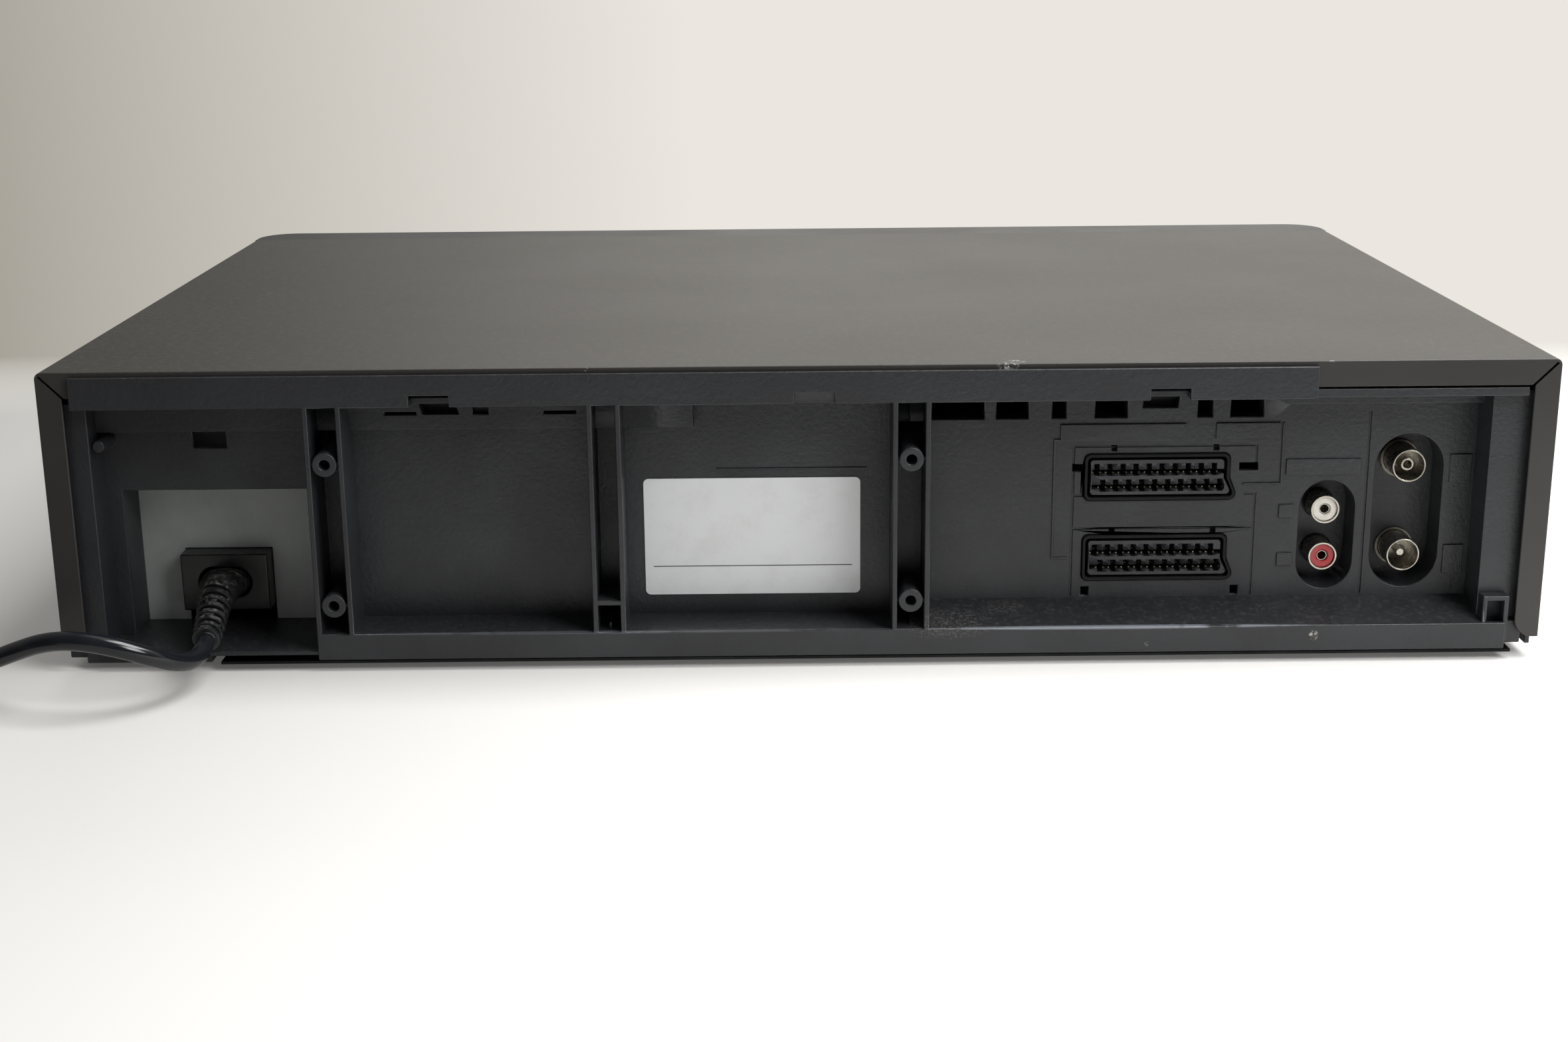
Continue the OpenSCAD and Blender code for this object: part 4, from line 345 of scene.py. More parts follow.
def woundCore():
    # transformer: dark varnished laminations, and amber tape round the winding that stands out of them
    look = {"core": "#35322f", "edge": "#5b554e", "tape": "#b8902c", "middleY": 60, "halfCore": 8.02,
            "sheet": 0.5}
    material = newMaterial("varnishedCoreAndTape", Roughness=0.42, IOR=1.5)
    place = addNode(material, "TexCoord", {}, "Object")
    across = addNode(material, "SeparateXYZ", {0: place}, 1)
    inCore = addNode(material, "Math", {0: across, 1: look["middleY"] * mm, 2: look["halfCore"] * mm},
                     operation="COMPARE")
    layers = addNode(material, "Mapping", {"Vector": place, "Scale": (0.02, 1, 0.02)})
    sheets = addNode(material, "TexNoise", {"Vector": layers, "Scale": 1000 / look["sheet"], "Detail": 1.0})
    core = addNode(material, "Mix", {0: sheets, 6: look["core"], 7: look["edge"]}, 2, data_type="RGBA")
    shade = addNode(material, "Mix", {0: inCore, 6: look["tape"], 7: core}, 2, data_type="RGBA")
    bump = addNode(material, "Bump", {"Height": sheets, "Distance": 0.03 * mm, "Strength": 0.4})
    feed(material, Base_Color=shade, Normal=bump)
    return material


def twoInserts():
    # two glossy mouldings that share one node, red below and white above, both faintly grimed
    look = {"lower": "#a81c26", "upper": "#dcd8ce", "border": 33.6, "grime": "#7d7870", "grimeSize": 2.857}
    material = newMaterial("phonoInserts", Roughness=0.3, IOR=1.53)
    place = addNode(material, "TexCoord", {}, "Object")
    height = addNode(material, "SeparateXYZ", {0: place}, 2)
    above = addNode(material, "Math", {0: height, 1: look["border"] * mm}, operation="GREATER_THAN")
    marks = addNode(material, "TexNoise", {"Vector": place, "Scale": 1000 / look["grimeSize"],
                                           "Detail": 4.0})
    grime = addNode(material, "MapRange", {"Value": marks, "From Min": 0.4, "From Max": 0.7, "To Max": 0.22})
    shade = addNode(material, "Mix", {0: above, 6: look["lower"], 7: look["upper"]}, 2, data_type="RGBA")
    shade = addNode(material, "Mix", {0: grime, 6: shade, 7: look["grime"]}, 2, data_type="RGBA")
    bump = addNode(material, "Bump", {"Height": marks, "Distance": 0.01 * mm, "Strength": 0.3})
    feed(material, Base_Color=shade, Normal=bump)
    return material


def clouded(name, colour, cloud, size, rough, **sockets):
    # even materials whose look is a faint cloudiness: acetal, glass, acrylic
    material = newMaterial(name, **sockets)
    place = addNode(material, "TexCoord", {}, "Object")
    haze = addNode(material, "TexNoise", {"Vector": place, "Scale": 1000 / size, "Detail": 4.0})
    shade = addNode(material, "Mix", {0: haze, 6: colour, 7: cloud}, 2, data_type="RGBA")
    sheen = addNode(material, "MapRange", {"Value": haze, **noiseSpan, "To Min": rough[0],
                                           "To Max": rough[1]})
    feed(material, Base_Color=shade, Roughness=sheen)
    return material


enamel = stovedEnamel()
panelScuffsAndHighlights = [                                      # middle, half size, colour, share, spot size, how broken
    # the first two are painted highlights along the ledge's front edge, the brighter one to the picture's
    # right; the rest are pale scuffs
    ((-92, 142.5, 11.2), (62, 1.2, 0.75), "#8b9098", 0.75, 16.67, 0.34),
    ((48, 142.5, 11.2), (95, 1.2, 0.6), "#5a5d62", 0.6, 20, 0.38),
    ((-42, 139, 12), (16, 9, 5), "#85817a", 0.35, 0.7692, 0.5),
    ((-60, 130, 13), (9, 6, 3), "#85817a", 0.25, 0.6667, 0.5),
    ((-149, 143, 8.2), (1.5, 1.5, 1.7), "#b8b5ae", 0.9, 1.111, 0.47),
    ((-100.5, 143, 6.0), (0.7, 1, 0.9), "#a4a19b", 0.8, 1.111, 0.45)]
# ABS from a spark-eroded tool: even satin grain that catches a side light, paler where it is rubbed, and a
# painted highlight along the ledge's front edge.
# The real grain is about 0.8 mm; it is drawn at 1.5 mm and deeper, so that it shows
panelAbs = moulded("sparkErodedAbs", "#222326", "#2a2c2f", (0.46, 0.36), 38, 1.5, 0.26, 0.16,
                   marks=panelScuffsAndHighlights, ior=1.5)
# ABS from a finely textured tool: smoother than the rear, a soft sheen
fasciaAbs = moulded("fineGrainAbs", "#202124", "#26272a", (0.42, 0.36), 60, 0.6, 0.03, 0.06)
# ABS that nobody sees, as it left the tool: dull
frameAbs = moulded("frameAbs", "#1d1d1f", "#252527", (0.6, 0.5), 40, 1.4, 0.05)
# ABS polished by fingers: glossier and a little paler than the fascia
keyAbs = moulded("keyAbs", "#2a2b2e", "#303134", (0.34, 0.28), 9, 0.4, 0.012)
# glass-filled nylon: the fibres leave it dull and slightly rough
socketFace = moulded("glassFilledNylon", "#242528", "#2d2e31", (0.5, 0.4), 12, 0.5, 0.03)
# PBT of the sockets' shells: the blackest plastic here, with hardly a highlight
shellPbt = moulded("socketShellPbt", "#09090a", "#0e0e10", (0.5, 0.4), 7, 0.5, 0.01, ior=1.3)
# compression-moulded phenolic: hard, black, half glossy, dusty on top
inletPhenolic = moulded("inletPhenolic", "#0d0e0f", "#18191a", (0.34, 0.28), 8, 0.5, 0.02, 0.25)
# extruded PVC: smooth and glossy, with long highlights
sheathPvc = moulded("glossyPvcSheath", "#16181c", "#1e2025", (0.13, 0.2), 14, 1.6, 0.012)
# soft moulded PVC: satin, and it holds the dust between its ribs
bootPvc = moulded("softPvcBoot", "#121315", "#1c1d1f", (0.42, 0.34), 6, 0.7, 0.03, 0.9, "#8f8c86")
# black rubbers: the feet and the strap matt, the ground roller a little smoother
footRubber = moulded("footRubber", "#141414", "#1d1d1c", (0.75, 0.65), 8, 0.6, 0.03)
rollerRubber = moulded("rollerRubber", "#1b1a19", "#2a2927", (0.6, 0.5), 5, 0.3, 0.01)
# nickel plate: warm grey and bright, and the same gone dull with age on the collars
nickel = metal("nickelPlate", "#b9b4aa", "#8d877b")
dullNickel = metal("dullNickel", "#77736a", "#57534a", (0.34, 0.46))
# brass under thin nickel: yellow shows through
pinBrass = metal("nickelledBrass", "#cfc6b0", "#a3946c")
# rolled steel, zinc plated: cool grey, marks along the rolling; and the same steel darkened under the machine
# as painted shade
zincSteel = metal("zincPlatedSteel", "#a9aaa6", "#8a8780", (0.3, 0.42), (0.1, 1, 1))
underSteel = metal("zincSteelPaintedShade", "#2c2d2e", "#1c1c1c", (0.45, 0.6), (0.1, 1, 1))
# black zinc: dark with a metal's glint on the edges
screwSteel = metal("blackZincScrew", "#303133", "#47484c", (0.34, 0.45))
# tinned spring bronze: pale straw, thin glints
bronze = metal("tinnedBronze", "#c9c2ae", "#9c8f6c")
# diamond-turned aluminium: bright, with fine rings
aluminium = metal("turnedAluminium", "#b9bbbd", "#a5a7a9", (0.24, 0.34), (0.03, 0.03, 1), 0.6, 0.001)
# pressed and sintered bronze: brown gold, oily and dull
sintered = metal("sinteredBronze", "#a98f58", "#80693c", (0.34, 0.46))
foil = printedFoil()
greyBoard = fibreBoard()
# paper laminate without resist: brown; and glass laminate: green
brownLaminate = circuitBoard("phenolicBoard", "#7d6238", "#94774a", 15.6)
greenLaminate = circuitBoard("greenBoard", "#1f4a2a", "#3a7444")
insertPlastic = twoInserts()
coreAndTape = woundCore()
# blown glass over dark electrodes, and smoked cast acrylic: both mirror the room sharply
tubeGlass = clouded("tubeGlass", "#161f1f", "#1d2827", 4, (0.05, 0.14), IOR=1.52)
smokedAcrylic = clouded("smokedAcrylic", "#0b0c10", "#0f1014", 18, (0.04, 0.12), IOR=1.49,
                        Transmission_Weight=0.3)
# uncoloured acetal: waxy white, light goes a little way in
acetal = clouded("naturalAcetal", "#dad6ca", "#e4e1d7", 9, (0.32, 0.42), IOR=1.48,
                 Subsurface_Weight=0.08, Subsurface_Scale=0.002)
# pad-printed ink: flat off-white
signPaint = clouded("padPrintWhite", "#b9bab8", "#c6c7c4", 1.5, (0.45, 0.6), IOR=1.5)

finishes = {
    enamel: ["top_cover"], panelAbs: ["rear_panel"], fasciaAbs: ["front_panel", "cassette_door"],
    smokedAcrylic: ["display_window"], tubeGlass: ["display_tube"], greenLaminate: ["front_board"],
    frameAbs: ["main_frame"], underSteel: ["bottom_plate"], footRubber: ["feet", "cord_tie"],
    screwSteel: ["cover_screws"], foil: ["rating_label"],
    socketFace: ["scart_upper", "scart_lower", "phono_block"],
    bronze: ["scart_contacts"], insertPlastic: ["phono_inserts"],
    aluminium: ["heatsink", "lower_drum", "upper_drum"],
    nickel: ["phono_shells", "aerial_input", "aerial_output", "left_guide", "right_guide", "capstan",
             "tape_heads"],
    zincSteel: ["tuner_can", "deck_plate", "lift_sides", "cassette_slider", "cassette_tray", "idler_arm",
                "pinch_arm", "loading_motor"],
    brownLaminate: ["main_board", "power_board"], coreAndTape: ["power_transformer"],
    greyBoard: ["insulation_plate"], inletPhenolic: ["mains_inlet"],
    bootPvc: ["cord_connector", "mains_plug"], sintered: ["capstan_motor"],
    acetal: ["supply_reel", "takeup_reel", "idler_gear", "cam_gear", "worm"],
    rollerRubber: ["pinch_roller"],
    keyAbs: ["channel_rocker", "power_button", "eject_button", "rewind_button", "play_button",
             "forward_button", "stop_button", "record_button"],
}
finishOf = {nodeName: material for material, nodes in finishes.items() for nodeName in nodes}
for nodeName, material in finishOf.items():
    shown = frame["nodes"][nodeName].data.materials
    shown.clear()
    shown.append(material)
mainsLead.data.materials.append(sheathPvc)
print("finishes made,", len(finishes))


def takeUp(*pieces):                                # these pieces alone are selected, the first one active
    bpy.ops.object.select_all(action="DESELECT")
    for piece in pieces:
        piece.select_set(True)
    bpy.context.view_layer.objects.active = pieces[0]


def finishPiece(piece, name, nodeName, material, smooth=35):
    takeUp(piece)
    for modifier in list(piece.modifiers):
        bpy.ops.object.modifier_apply(modifier=modifier.name)
    bpy.ops.object.transform_apply(location=True, rotation=True, scale=True)
    bpy.ops.object.shade_smooth_by_angle(angle=math.radians(smooth))
    piece.modifiers.new("normals", "WEIGHTED_NORMAL").keep_sharp = True
    bpy.ops.object.modifier_apply(modifier="normals")
    piece.name = piece.data.name = name
    piece.data.materials.clear()
    piece.data.materials.append(material)
    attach(piece, bodyOf[nodeName])
    return piece


def blockAt(place, size, turn=(0, 0, 0)):           # a block to start from
    bpy.ops.mesh.primitive_cube_add(size=mm, location=Vector(place) * mm, rotation=turn)
    block = bpy.context.object
    block.scale = size
    bpy.ops.object.transform_apply(location=True, rotation=True, scale=True)
    return block


def bevelled(block, width, segments):               # all its edges, on the active object
    bpy.ops.object.mode_set(mode="EDIT")
    bpy.ops.mesh.select_all(action="SELECT")
    bpy.ops.mesh.bevel(offset=width * mm, segments=segments)
    bpy.ops.object.mode_set(mode="OBJECT")
    return block


# how edges are rounded: each by no more than a share of the edges it meets; lines and plates that are only
# 0.3 mm proud leave less than the least room, and keep their edges
rounding = {"merge": 0.002, "flat": 0.5, "sharp": 30, "beside": 0.8, "share": 0.42, "least": 0.15,
            "segments": 3}


def mergedCopy(nodeName, name, flat=None):          # a CAD node's loose triangles, joined into one skin
    piece = bpy.data.objects.new(name, frame["nodes"][nodeName].data.copy())
    bpy.context.collection.objects.link(piece)
    takeUp(piece)
    bpy.ops.object.mode_set(mode="EDIT")
    bpy.ops.mesh.select_all(action="SELECT")
    bpy.ops.mesh.remove_doubles(threshold=rounding["merge"] * mm)
    if flat:
        bpy.ops.mesh.dissolve_limited(angle_limit=math.radians(flat))
    bpy.ops.object.mode_set(mode="OBJECT")
    return piece


def roomAt(edge, room):                             # what the edges it meets leave for rounding it
    along = (edge.verts[1].co - edge.verts[0].co).normalized()
    for corner in edge.verts:
        for other in corner.link_edges:
            across = other.other_vert(corner).co - corner.co
            if other is not edge and abs(across.normalized().dot(along)) < rounding["beside"]:
                room = min(room, across.length * rounding["share"])
    return room


def softened(nodeName, name, width):                # a copy of a CAD node with its outer edges rounded
    piece = mergedCopy(nodeName, name, rounding["flat"])
    shape = bmesh.new()
    shape.from_mesh(piece.data)
    weight = shape.edges.layers.float.new("bevel_weight_edge")
    sharp = math.radians(rounding["sharp"])
    for edge in shape.edges:
        if len(edge.link_faces) != 2 or not edge.is_convex or edge.calc_face_angle() < sharp:
            continue
        room = roomAt(edge, width * mm)
        if room > rounding["least"] * mm:
            edge[weight] = room / (width * mm)
    shape.to_mesh(piece.data)
    shape.free()
    bevel = piece.modifiers.new("bevel", "BEVEL")
    bevel.width = width * mm
    bevel.segments = rounding["segments"]
    bevel.limit_method = "WEIGHT"
    bevel.use_clamp_overlap = False
    finishPiece(piece, name, nodeName, finishOf[nodeName])
    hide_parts(nodeName)
    return piece


edges = {                                           # node: new piece, radius of its edges
    "top_cover": ("coverSkin", 0.35), "rear_panel": ("socketPanel", 0.35), "front_panel": ("fascia", 0.5),
    "cassette_door": ("slotDoor", 0.4), "display_window": ("displayLens", 0.4), "feet": ("footPads", 0.4),
    "rating_label": ("typePlate", 0.1), "mains_inlet": ("inletBlock", 0.5),
    "phono_shells": ("phonoShells", 0.15), "phono_inserts": ("phonoRings", 0.4),
    "aerial_input": ("aerialInBarrel", 0.2), "aerial_output": ("aerialOutBarrel", 0.2),
    "power_button": ("powerKey", 0.6), "eject_button": ("ejectKey", 0.6),
    "rewind_button": ("rewindKey", 0.6), "play_button": ("playKey", 0.6),
    "forward_button": ("forwardKey", 0.6), "stop_button": ("stopKey", 0.6),
    "record_button": ("recordKey", 0.6), "channel_rocker": ("channelRocker", 0.6),
}
for nodeName, (name, width) in edges.items():
    softened(nodeName, name, width)
print("edges rounded on", len(edges), "pieces")

# the video sockets: the shell's black rim stands 0.3 mm in front of the block's face, which is at 126.5
videoSockets = {"pieces": {"scart_upper": "upperVideoSocket", "scart_lower": "lowerVideoSocket"},
                "rimFrom": 126.6, "smooth": 20}
for nodeName, name in videoSockets["pieces"].items():
    socket = mergedCopy(nodeName, name)
    finishPiece(socket, name, nodeName, socketFace, videoSockets["smooth"])
    socket.data.materials.append(shellPbt)
    for face in socket.data.polygons:
        face.material_index = int(face.center.y > videoSockets["rimFrom"] * mm)
    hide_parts(nodeName)
print("video sockets finished")

# the mains connector, and its strain relief that is split into ribs so that it bends
boot = {
    "inlet": (172.4, 19.75), "half": (7.5, 4.4), "sides": 40,
    "body": [(108, 0.6), (108.5, 0.1), (120.2, 0), (120.9, 0.5)],           # y, how far it is drawn in
    "neck": [((172.4, 120.4, 19.75), (6.9, 4.3)), ((172.2, 124, 19.75), (6.2, 4.9))],
    "curve": [(172, 126, 19.8), (172, 134, 19), (171.66, 140.2, 12.76), (171.4, 148, 11.2)],
    "ends": (5.4, 3.9), "neckSteps": (0.02, 0.1, 0.19), "core": 2.2, "coreInNeck": 0.8, "coreCover": 0.75,
    "coreSteps": 16, "coreFrom": 3,
    "ribs": 7, "ribStart": 0.2, "ribEnd": 0.97, "ribShare": 0.62, "ribShift": 0.06,
    "ribEdge": [(0, 0.9), (0.02, 0.35), (0.14, 0), (0.86, 0), (0.98, 0.35), (1, 0.9)],
    "web": (3.4, 1.5, 1.8), "webSunk": 1.3, "webEdge": 0.35,
}


def bootPoint(t):                                   # along the middle of the strain relief, t from 0 to 1
    a, b, c, d = (Vector(p) for p in boot["curve"])
    return a * (1 - t) ** 3 + b * 3 * t * (1 - t) ** 2 + c * 3 * t * t * (1 - t) + d * t ** 3


def bootTurn(t, step=0.01):
    return (bootPoint(min(1, t + step)) - bootPoint(max(0, t - step))).to_track_quat("Z", "Y").to_euler()


def bootRadius(t):
    return boot["ends"][0] + (boot["ends"][1] - boot["ends"][0]) * t


def loopAt(place, turn, half):                      # one cross-section of the moulding, as an open loop
    bpy.ops.mesh.primitive_circle_add(vertices=boot["sides"], radius=mm, location=place * mm, rotation=turn)
    loop = bpy.context.object
    loop.scale = (half[0], half[1], 1)
    bpy.ops.object.transform_apply(location=True, rotation=True, scale=True)
    return loop


def bootLoop(t, radius):
    return loopAt(bootPoint(t), bootTurn(t), (radius, radius))


def bridged(loops, name, ring=False):               # a ring closes on itself, anything else is capped
    takeUp(*loops)
    bpy.ops.object.join()
    bpy.ops.object.mode_set(mode="EDIT")
    bpy.ops.mesh.select_all(action="SELECT")
    bpy.ops.mesh.bridge_edge_loops(type="CLOSED" if ring else "SINGLE")
    bpy.ops.mesh.select_all(action="SELECT")
    if not ring:
        bpy.ops.mesh.fill_holes(sides=0)
    bpy.ops.mesh.normals_make_consistent(inside=False)
    bpy.ops.object.mode_set(mode="OBJECT")
    bpy.context.object.name = name
    return bpy.context.object


straight = Vector((0, 1, 0)).to_track_quat("Z", "Y").to_euler()
x, z = boot["inlet"]
body = [loopAt(Vector((x, y, z)), straight, [half - cut for half in boot["half"]])
        for y, cut in boot["body"]]
parts = [bridged(body, "connectorBody")]
neck = [loopAt(Vector(place), straight, half) for place, half in boot["neck"]]
neck += [bootLoop(t, bootRadius(t)) for t in boot["neckSteps"]]
neck.append(bootLoop(boot["ribStart"], boot["core"] + boot["coreInNeck"]))
parts.append(bridged(neck, "connectorNeck"))
core = [bootLoop(t / boot["coreSteps"], boot["core"] + boot["coreCover"])
        for t in range(boot["coreFrom"], boot["coreSteps"] + 1)]
parts.append(bridged(core, "bootCore"))
ribLength = (boot["ribEnd"] - boot["ribStart"]) / boot["ribs"]
for k in range(boot["ribs"]):
    start = boot["ribStart"] + (k + 0.5 - boot["ribShare"] / 2 + boot["ribShift"]) * ribLength
    rib = []
    for part, cut in boot["ribEdge"]:
        t = start + part * boot["ribShare"] * ribLength
        rib.append(bootLoop(t, bootRadius(t) - cut))
    parts.append(bridged(rib, "rib"))
    if k:                                           # webs join a rib to the one before, sides alternating
        t = start - (1 - boot["ribShare"]) * ribLength / 2
        turn = bootTurn(t)
        wide, thin, long = boot["web"]
        size = (thin, wide, long) if k % 2 else (wide, thin, long)
        for sign in (-1, 1):
            out = turn.to_matrix() @ Vector((sign, 0, 0) if k % 2 else (0, sign, 0))
            web = blockAt(bootPoint(t) + out * (bootRadius(t) - boot["webSunk"]), size, turn)
            parts.append(bevelled(web, boot["webEdge"], 2))
takeUp(*parts)
bpy.ops.object.join()
connector = finishPiece(bpy.context.object, "leadConnector", "cord_connector", bootPvc, 50)
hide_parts("cord_connector")
print("connector made,", len(connector.data.polygons), "faces")

# collars round the aerial barrels, and contact rings inside the phono sockets: outlines as radius and depth
collar = [(5.7, 115.2), (5.7, 116.2), (5.5, 116.4), (5.05, 116.4), (5.05, 115.2)]
contact = [(1.62, 117), (1.62, 123.2), (1.5, 123.35), (1.3, 123.2), (1.3, 117)]
rings = {                                           # name: node, centre x and z, outline, finish
    "aerialInCollar": ("aerial_input", (-178.6, 54.3), collar, dullNickel),
    "aerialOutCollar": ("aerial_output", (-178.6, 27.2), collar, dullNickel),
    "upperPhonoContact": ("phono_shells", (-155.2, 40.8), contact, nickel),
    "lowerPhonoContact": ("phono_shells", (-155.2, 26.5), contact, nickel),
}
for name, (nodeName, (x, z), outline, material) in rings.items():
    loops = [loopAt(Vector((x, y, z)), straight, (radius, radius)) for radius, y in outline]
    finishPiece(bridged(loops, name, ring=True), name, nodeName, material, 40)
print("socket rings made,", len(rings))

# the plug: two sleeved pins with bare tips
plugFacts = {"sleeveEnd": 363, "edge": 1.0}
plug = softened("mains_plug", "leadPlug", plugFacts["edge"])
takeUp(plug)
bpy.ops.object.mode_set(mode="EDIT")
bpy.ops.mesh.select_all(action="SELECT")
bpy.ops.mesh.bisect(plane_co=(plugFacts["sleeveEnd"] * mm, 0, 0), plane_no=(1, 0, 0))
bpy.ops.object.mode_set(mode="OBJECT")
plug.data.materials.append(pinBrass)
for face in plug.data.polygons:
    face.material_index = int(face.center.x > plugFacts["sleeveEnd"] * mm)
print("plug finished")

# the tie round the coil: a moulded strap with its lock
strap = {"x": (276.2, 283.8), "y": (214.3, 243.1), "z": (0.05, 13.85), "wall": 0.9, "corner": 3.2,
         "edge": 0.2, "lock": (280, 243.0, 7.0), "lockSize": (10.5, 3.6, 6.4), "lockEdge": 0.7}

tie = blockAt([sum(strap[k]) / 2 for k in "xyz"], [strap[k][1] - strap[k][0] for k in "xyz"])
for face in tie.data.polygons:                      # open at both ends
    face.select = abs(face.normal.x) > 0.5
bpy.ops.object.mode_set(mode="EDIT")
bpy.ops.mesh.select_mode(type="FACE")
bpy.ops.mesh.delete(type="ONLY_FACE")
bpy.ops.object.mode_set(mode="OBJECT")
for edge in tie.data.edges:                         # its four long corners are rounded
    ends = [tie.data.vertices[k].co for k in edge.vertices]
    edge.select = abs(ends[0].x - ends[1].x) > mm
bpy.ops.object.mode_set(mode="EDIT")
bpy.ops.mesh.select_mode(type="EDGE")
bpy.ops.mesh.bevel(offset=strap["corner"] * mm, segments=6)
bpy.ops.object.mode_set(mode="OBJECT")
wall = tie.modifiers.new("wall", "SOLIDIFY")
wall.thickness = strap["wall"] * mm
wall.offset = -1
edging = tie.modifiers.new("edging", "BEVEL")
edging.width = strap["edge"] * mm
edging.segments = 2
takeUp(tie)
for modifier in list(tie.modifiers):
    bpy.ops.object.modifier_apply(modifier=modifier.name)
lock = bevelled(blockAt(strap["lock"], strap["lockSize"]), strap["lockEdge"], 3)
takeUp(tie, lock)
bpy.ops.object.join()
tie = finishPiece(bpy.context.object, "coilStrap", "cord_tie", footRubber)
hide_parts("cord_tie")
print("strap finished")

# generic signs on the keys, printed a little proud; a number is a shape with so many corners
signs = {"size": 1.9, "proud": 0.12, "sunk": 0.05, "front": -143, "ringCorners": 32, "ringHole": 0.8,
         "bars": {"lying": (0.9, 1, 0.2), "upright": (0.2, 1, 0.75)}, "rows": {
    "rewind_button": [(3, 60.4, 28, -90), (3, 63.4, 28, -90)], "play_button": [(3, 88, 28, 90)],
    "forward_button": [(3, 112.6, 28, 90), (3, 115.6, 28, 90)], "stop_button": [(4, 140, 28, 45)],
    "record_button": [(24, 166, 28, 0)], "eject_button": [(3, -188, 42.4, 0), ("lying", -188, 40.3, 0)],
    "power_button": [("ring", -188, 66, 0), ("upright", -188, 67.4, 0)],
    "channel_rocker": [(3, 192, 34, 0), (3, 192, 22, 180)]}}


def printSign(shape, x, z, turn):
    place = Vector((x, signs["front"] + signs["sunk"], z)) * mm
    bar = signs["bars"].get(shape)
    corners = 4 if bar else signs["ringCorners"] if shape == "ring" else shape
    bpy.ops.mesh.primitive_circle_add(
        vertices=corners, radius=signs["size"] * mm, fill_type="NOTHING" if shape == "ring" else "NGON",
        location=place, rotation=(math.pi / 2, math.radians(45 if bar else turn), 0))
    sign = bpy.context.object
    if bar:                                         # a square, drawn out
        bpy.ops.object.transform_apply(location=False, rotation=True, scale=False)
        sign.scale = bar
    bpy.ops.object.transform_apply(location=True, rotation=True, scale=True)
    bpy.ops.object.mode_set(mode="EDIT")
    bpy.ops.mesh.select_all(action="SELECT")
    if shape == "ring":
        bpy.ops.mesh.extrude_region_move()
        bpy.ops.transform.resize(value=(signs["ringHole"], 1, signs["ringHole"]), center_override=place)
        bpy.ops.mesh.select_all(action="SELECT")
    outwards = (0, -(signs["proud"] + signs["sunk"]) * mm, 0)
    bpy.ops.mesh.extrude_region_move(TRANSFORM_OT_translate={"value": outwards})
    bpy.ops.mesh.select_all(action="SELECT")
    bpy.ops.mesh.normals_make_consistent(inside=False)
    bpy.ops.object.mode_set(mode="OBJECT")
    return sign


for nodeName, rows in signs["rows"].items():
    shapes = [printSign(*row) for row in rows]
    takeUp(*shapes)
    bpy.ops.object.join()
    finishPiece(bpy.context.object, nodeName.split("_")[0] + "Sign", nodeName, signPaint)
print("signs printed on", len(signs["rows"]), "keys")

# the floor is a pale table; past the wall's start and out at the ring it shows the studio's wall. To mirror
# rays alone it is painted dark before the lens and to its left, a painted reflection of a darker room that
# upright faces show there. Distances in metres
floorLook = {"size": 60, "near": "#f2f1ee", "nearShade": "#bab8b4", "shadeAcross": (-0.05, 0.35),
             "lift": 0.12, "wall": "#ebe7e0", "wallShade": "#9c988e", "wallStart": -0.2, "wallBlend": 0.14,
             "ring": (0.6, 1.4), "lens": 0.72, "leastDepth": 0.7, "wallSpread": (0.04, 0.42),
             "paintedReflectionDark": "#484642", "reflectionDarkBefore": (0.28, 0.56), "reflectionDarkLeft": (0.06, 0.36)}
bpy.ops.mesh.primitive_plane_add(size=floorLook["size"], location=(0, 0, 0))
floor = bpy.context.object
floor.name = "tableTop"
tableTop = newMaterial("tableTop", Roughness=0.6)
place = addNode(tableTop, "TexCoord", {}, "Object")
across = addNode(tableTop, "SeparateXYZ", {0: place}, 0)
away = addNode(tableTop, "SeparateXYZ", {0: place}, 1)

far = addNode(tableTop, "MapRange", {"Value": away, "From Min": floorLook["wallStart"],
                                     "From Max": floorLook["wallStart"] - floorLook["wallBlend"]})
nearShade = addNode(tableTop, "MapRange", {"Value": across, **span(floorLook["shadeAcross"])})
near = addNode(tableTop, "Mix", {0: nearShade, 6: floorLook["near"], 7: floorLook["nearShade"]}, 2,
               data_type="RGBA")
reach = addNode(tableTop, "VectorMath", {0: place}, 1, operation="LENGTH")
ringed = addNode(tableTop, "MapRange", {"Value": reach, **span(floorLook["ring"])})
depth = addNode(tableTop, "Math", {0: floorLook["lens"], 1: away}, operation="SUBTRACT")
depth = addNode(tableTop, "Math", {0: depth, 1: floorLook["leastDepth"]}, operation="MAXIMUM")
spread = addNode(tableTop, "Math", {0: across, 1: depth}, operation="DIVIDE")
farShade = addNode(tableTop, "MapRange", {"Value": spread, **span(floorLook["wallSpread"])})
farShade = addNode(tableTop, "Math", {0: farShade, 1: far}, operation="MULTIPLY")
wall = addNode(tableTop, "Mix", {0: farShade, 6: floorLook["wall"], 7: floorLook["wallShade"]}, 2,
               data_type="RGBA")
cameraRay = addNode(tableTop, "LightPath", {}, "Is Camera Ray")
glossyRay = addNode(tableTop, "LightPath", {}, "Is Glossy Ray")
throughRay = addNode(tableTop, "LightPath", {}, "Is Transmission Ray")
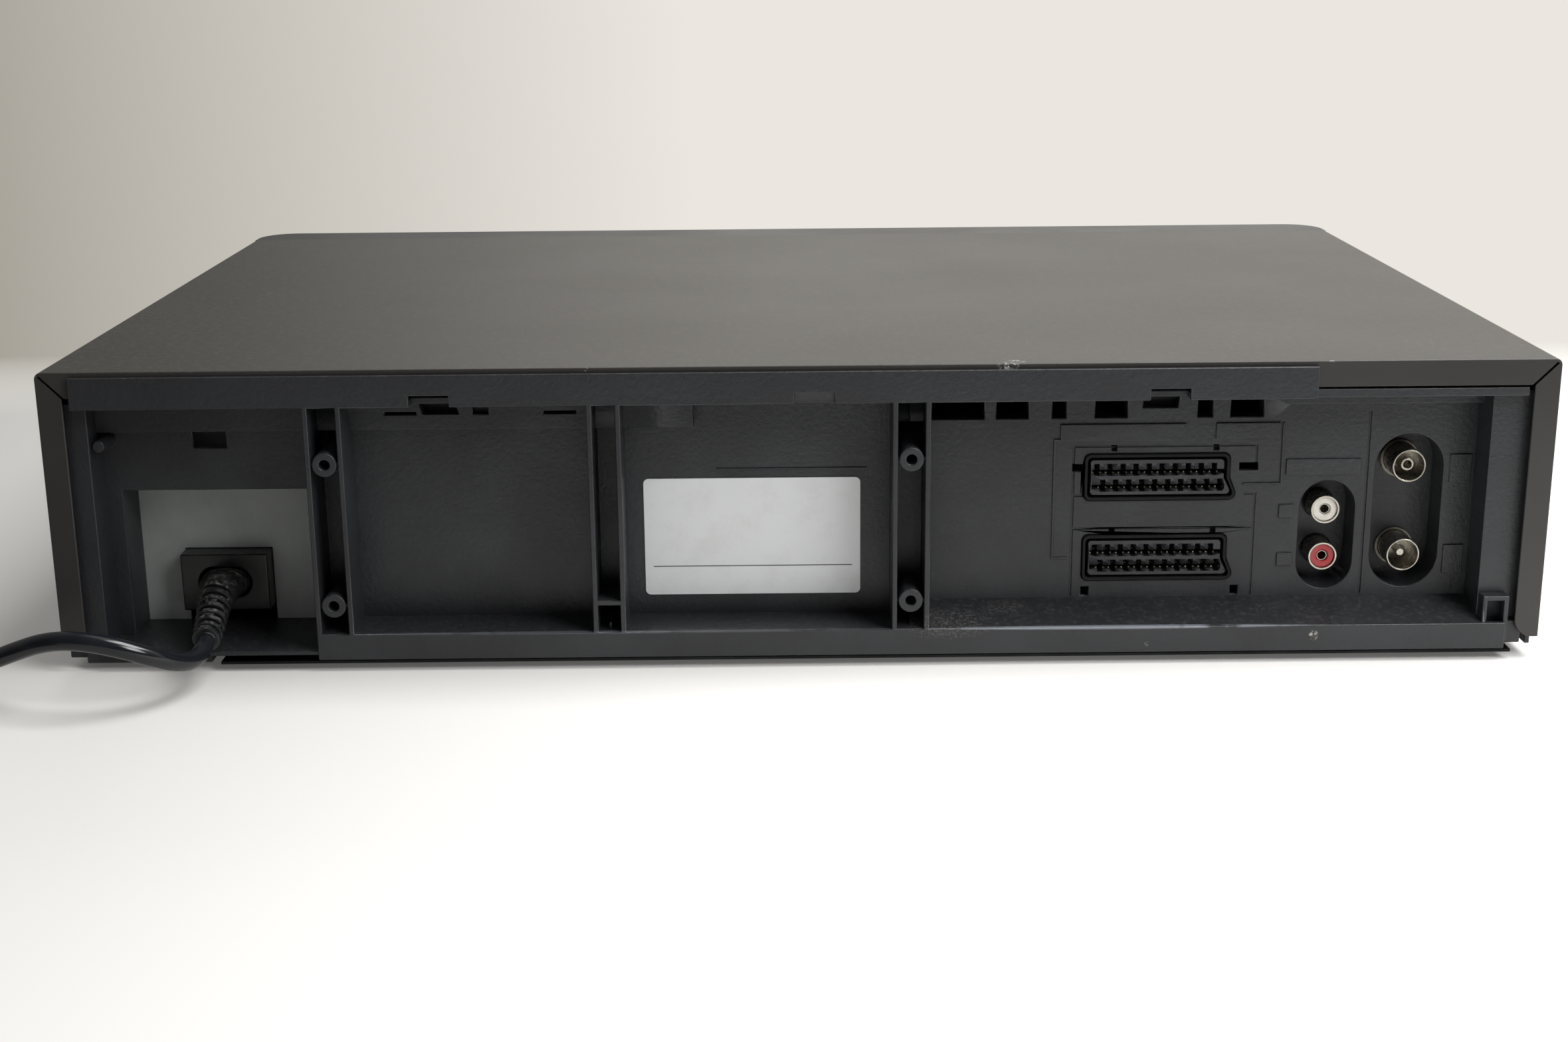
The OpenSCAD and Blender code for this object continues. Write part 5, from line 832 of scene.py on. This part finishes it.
# painted reflection: mirror rays alone see the table dark before the lens and to its left
reflectionDarkBefore = addNode(tableTop, "MapRange", {"Value": away, **span(floorLook["reflectionDarkBefore"])})
reflectionDarkLeft = addNode(tableTop, "MapRange", {"Value": across, **span(floorLook["reflectionDarkLeft"])})
paintedDarkReflection = addNode(tableTop, "Math", {0: reflectionDarkBefore, 1: reflectionDarkLeft}, operation="MAXIMUM")
paintedDarkReflection = addNode(tableTop, "Math", {0: paintedDarkReflection, 1: glossyRay}, operation="MULTIPLY")
near = addNode(tableTop, "Mix", {0: paintedDarkReflection, 6: near, 7: floorLook["paintedReflectionDark"]}, 2, data_type="RGBA")
wall = addNode(tableTop, "Mix", {0: paintedDarkReflection, 6: wall, 7: floorLook["paintedReflectionDark"]}, 2, data_type="RGBA")
feed(tableTop, Base_Color=near)
some = addNode(tableTop, "Math", {0: cameraRay, 1: glossyRay}, operation="ADD")
some = addNode(tableTop, "Math", {0: some, 1: throughRay}, operation="ADD", use_clamp=True)
lifted = addNode(tableTop, "Math", {0: some, 1: floorLook["lift"]}, operation="MULTIPLY")
lift = addNode(tableTop, "Emission", {"Color": near, "Strength": lifted})
table = tableTop.node_tree.nodes["Principled BSDF"].outputs[0]
white = addNode(tableTop, "AddShader", {0: table, 1: lift})
glow = addNode(tableTop, "Emission", {"Color": wall, "Strength": 1.0})
far = addNode(tableTop, "Math", {0: far, 1: ringed}, operation="MAXIMUM")
shown = addNode(tableTop, "Math", {0: far, 1: some}, operation="MULTIPLY")
both = addNode(tableTop, "MixShader", {0: shown, 1: white, 2: glow})
tableTop.node_tree.links.new(both, tableTop.node_tree.nodes["Material Output"].inputs["Surface"])
floor.data.materials.append(tableTop)

# a plain white sky lights the object. It mirrors a dark room, and before its front a pale wall that gets
# darker towards the picture's left. Each lamp has its place in metres, its watts and its size
lamps = {"sky": 0.25, "skyColour": "#ffffff", "room": "#232220", "wall": "#f6f2ea",
         "frontwards": (0.25, -0.25), "wallAcross": (0.02, 0.26), "wallLeast": 0.15,
         "places": {"ceiling": ((-0.55, 0.1, 1.25), 19, 0.8), "right": ((-0.75, 0.75, 0.75), 8, 0.5),
                    "front": ((0.3, -1.5, 0.8), 9, 0.9)}}
world = bpy.data.worlds.new("studio")
bpy.context.scene.world = world
world.use_nodes = True
lit = world.node_tree.nodes["Background"]
lit.inputs["Color"].default_value = toLinear(lamps["skyColour"])
lit.inputs["Strength"].default_value = lamps["sky"]
direction = addNode(world, "TexCoord", {}, "Generated")
across = addNode(world, "SeparateXYZ", {0: direction}, 0)
away = addNode(world, "SeparateXYZ", {0: direction}, 1)
frontwards = addNode(world, "MapRange", {"Value": away, **span(lamps["frontwards"])})
bright = addNode(world, "MapRange", {"Value": across, **span(lamps["wallAcross"]), "To Min": 1.0,
                                     "To Max": lamps["wallLeast"]})
bright = addNode(world, "Math", {0: bright, 1: frontwards}, operation="MULTIPLY")
around = addNode(world, "Mix", {0: bright, 6: lamps["room"], 7: lamps["wall"]}, 2, data_type="RGBA")
seen = addNode(world, "Background", {"Color": around, "Strength": 1.0})
cameraRay = addNode(world, "LightPath", {}, "Is Camera Ray")
glossyRay = addNode(world, "LightPath", {}, "Is Glossy Ray")
throughRay = addNode(world, "LightPath", {}, "Is Transmission Ray")
some = addNode(world, "Math", {0: glossyRay, 1: throughRay}, operation="ADD", use_clamp=True)
plain = addNode(world, "Background", {"Color": floorLook["wall"], "Strength": 1.0})
some = addNode(world, "MixShader", {0: some, 1: lit.outputs[0], 2: seen})
both = addNode(world, "MixShader", {0: cameraRay, 1: some, 2: plain})
world.node_tree.links.new(both, world.node_tree.nodes["World Output"].inputs["Surface"])
for name, (place, power, size) in lamps["places"].items():
    bpy.ops.object.light_add(type="AREA", location=place)
    lamp = bpy.context.object
    lamp.name = name + "Lamp"
    lamp.data.size = size
    lamp.data.energy = power
    lamp.visible_glossy = name != "front"           # the front lamp would mirror in the cover's top
    lamp.rotation_euler = (-lamp.location).to_track_quat("-Z", "Y").to_euler()
bpy.context.scene.view_settings.view_transform = "Standard"
print("floor and light set")
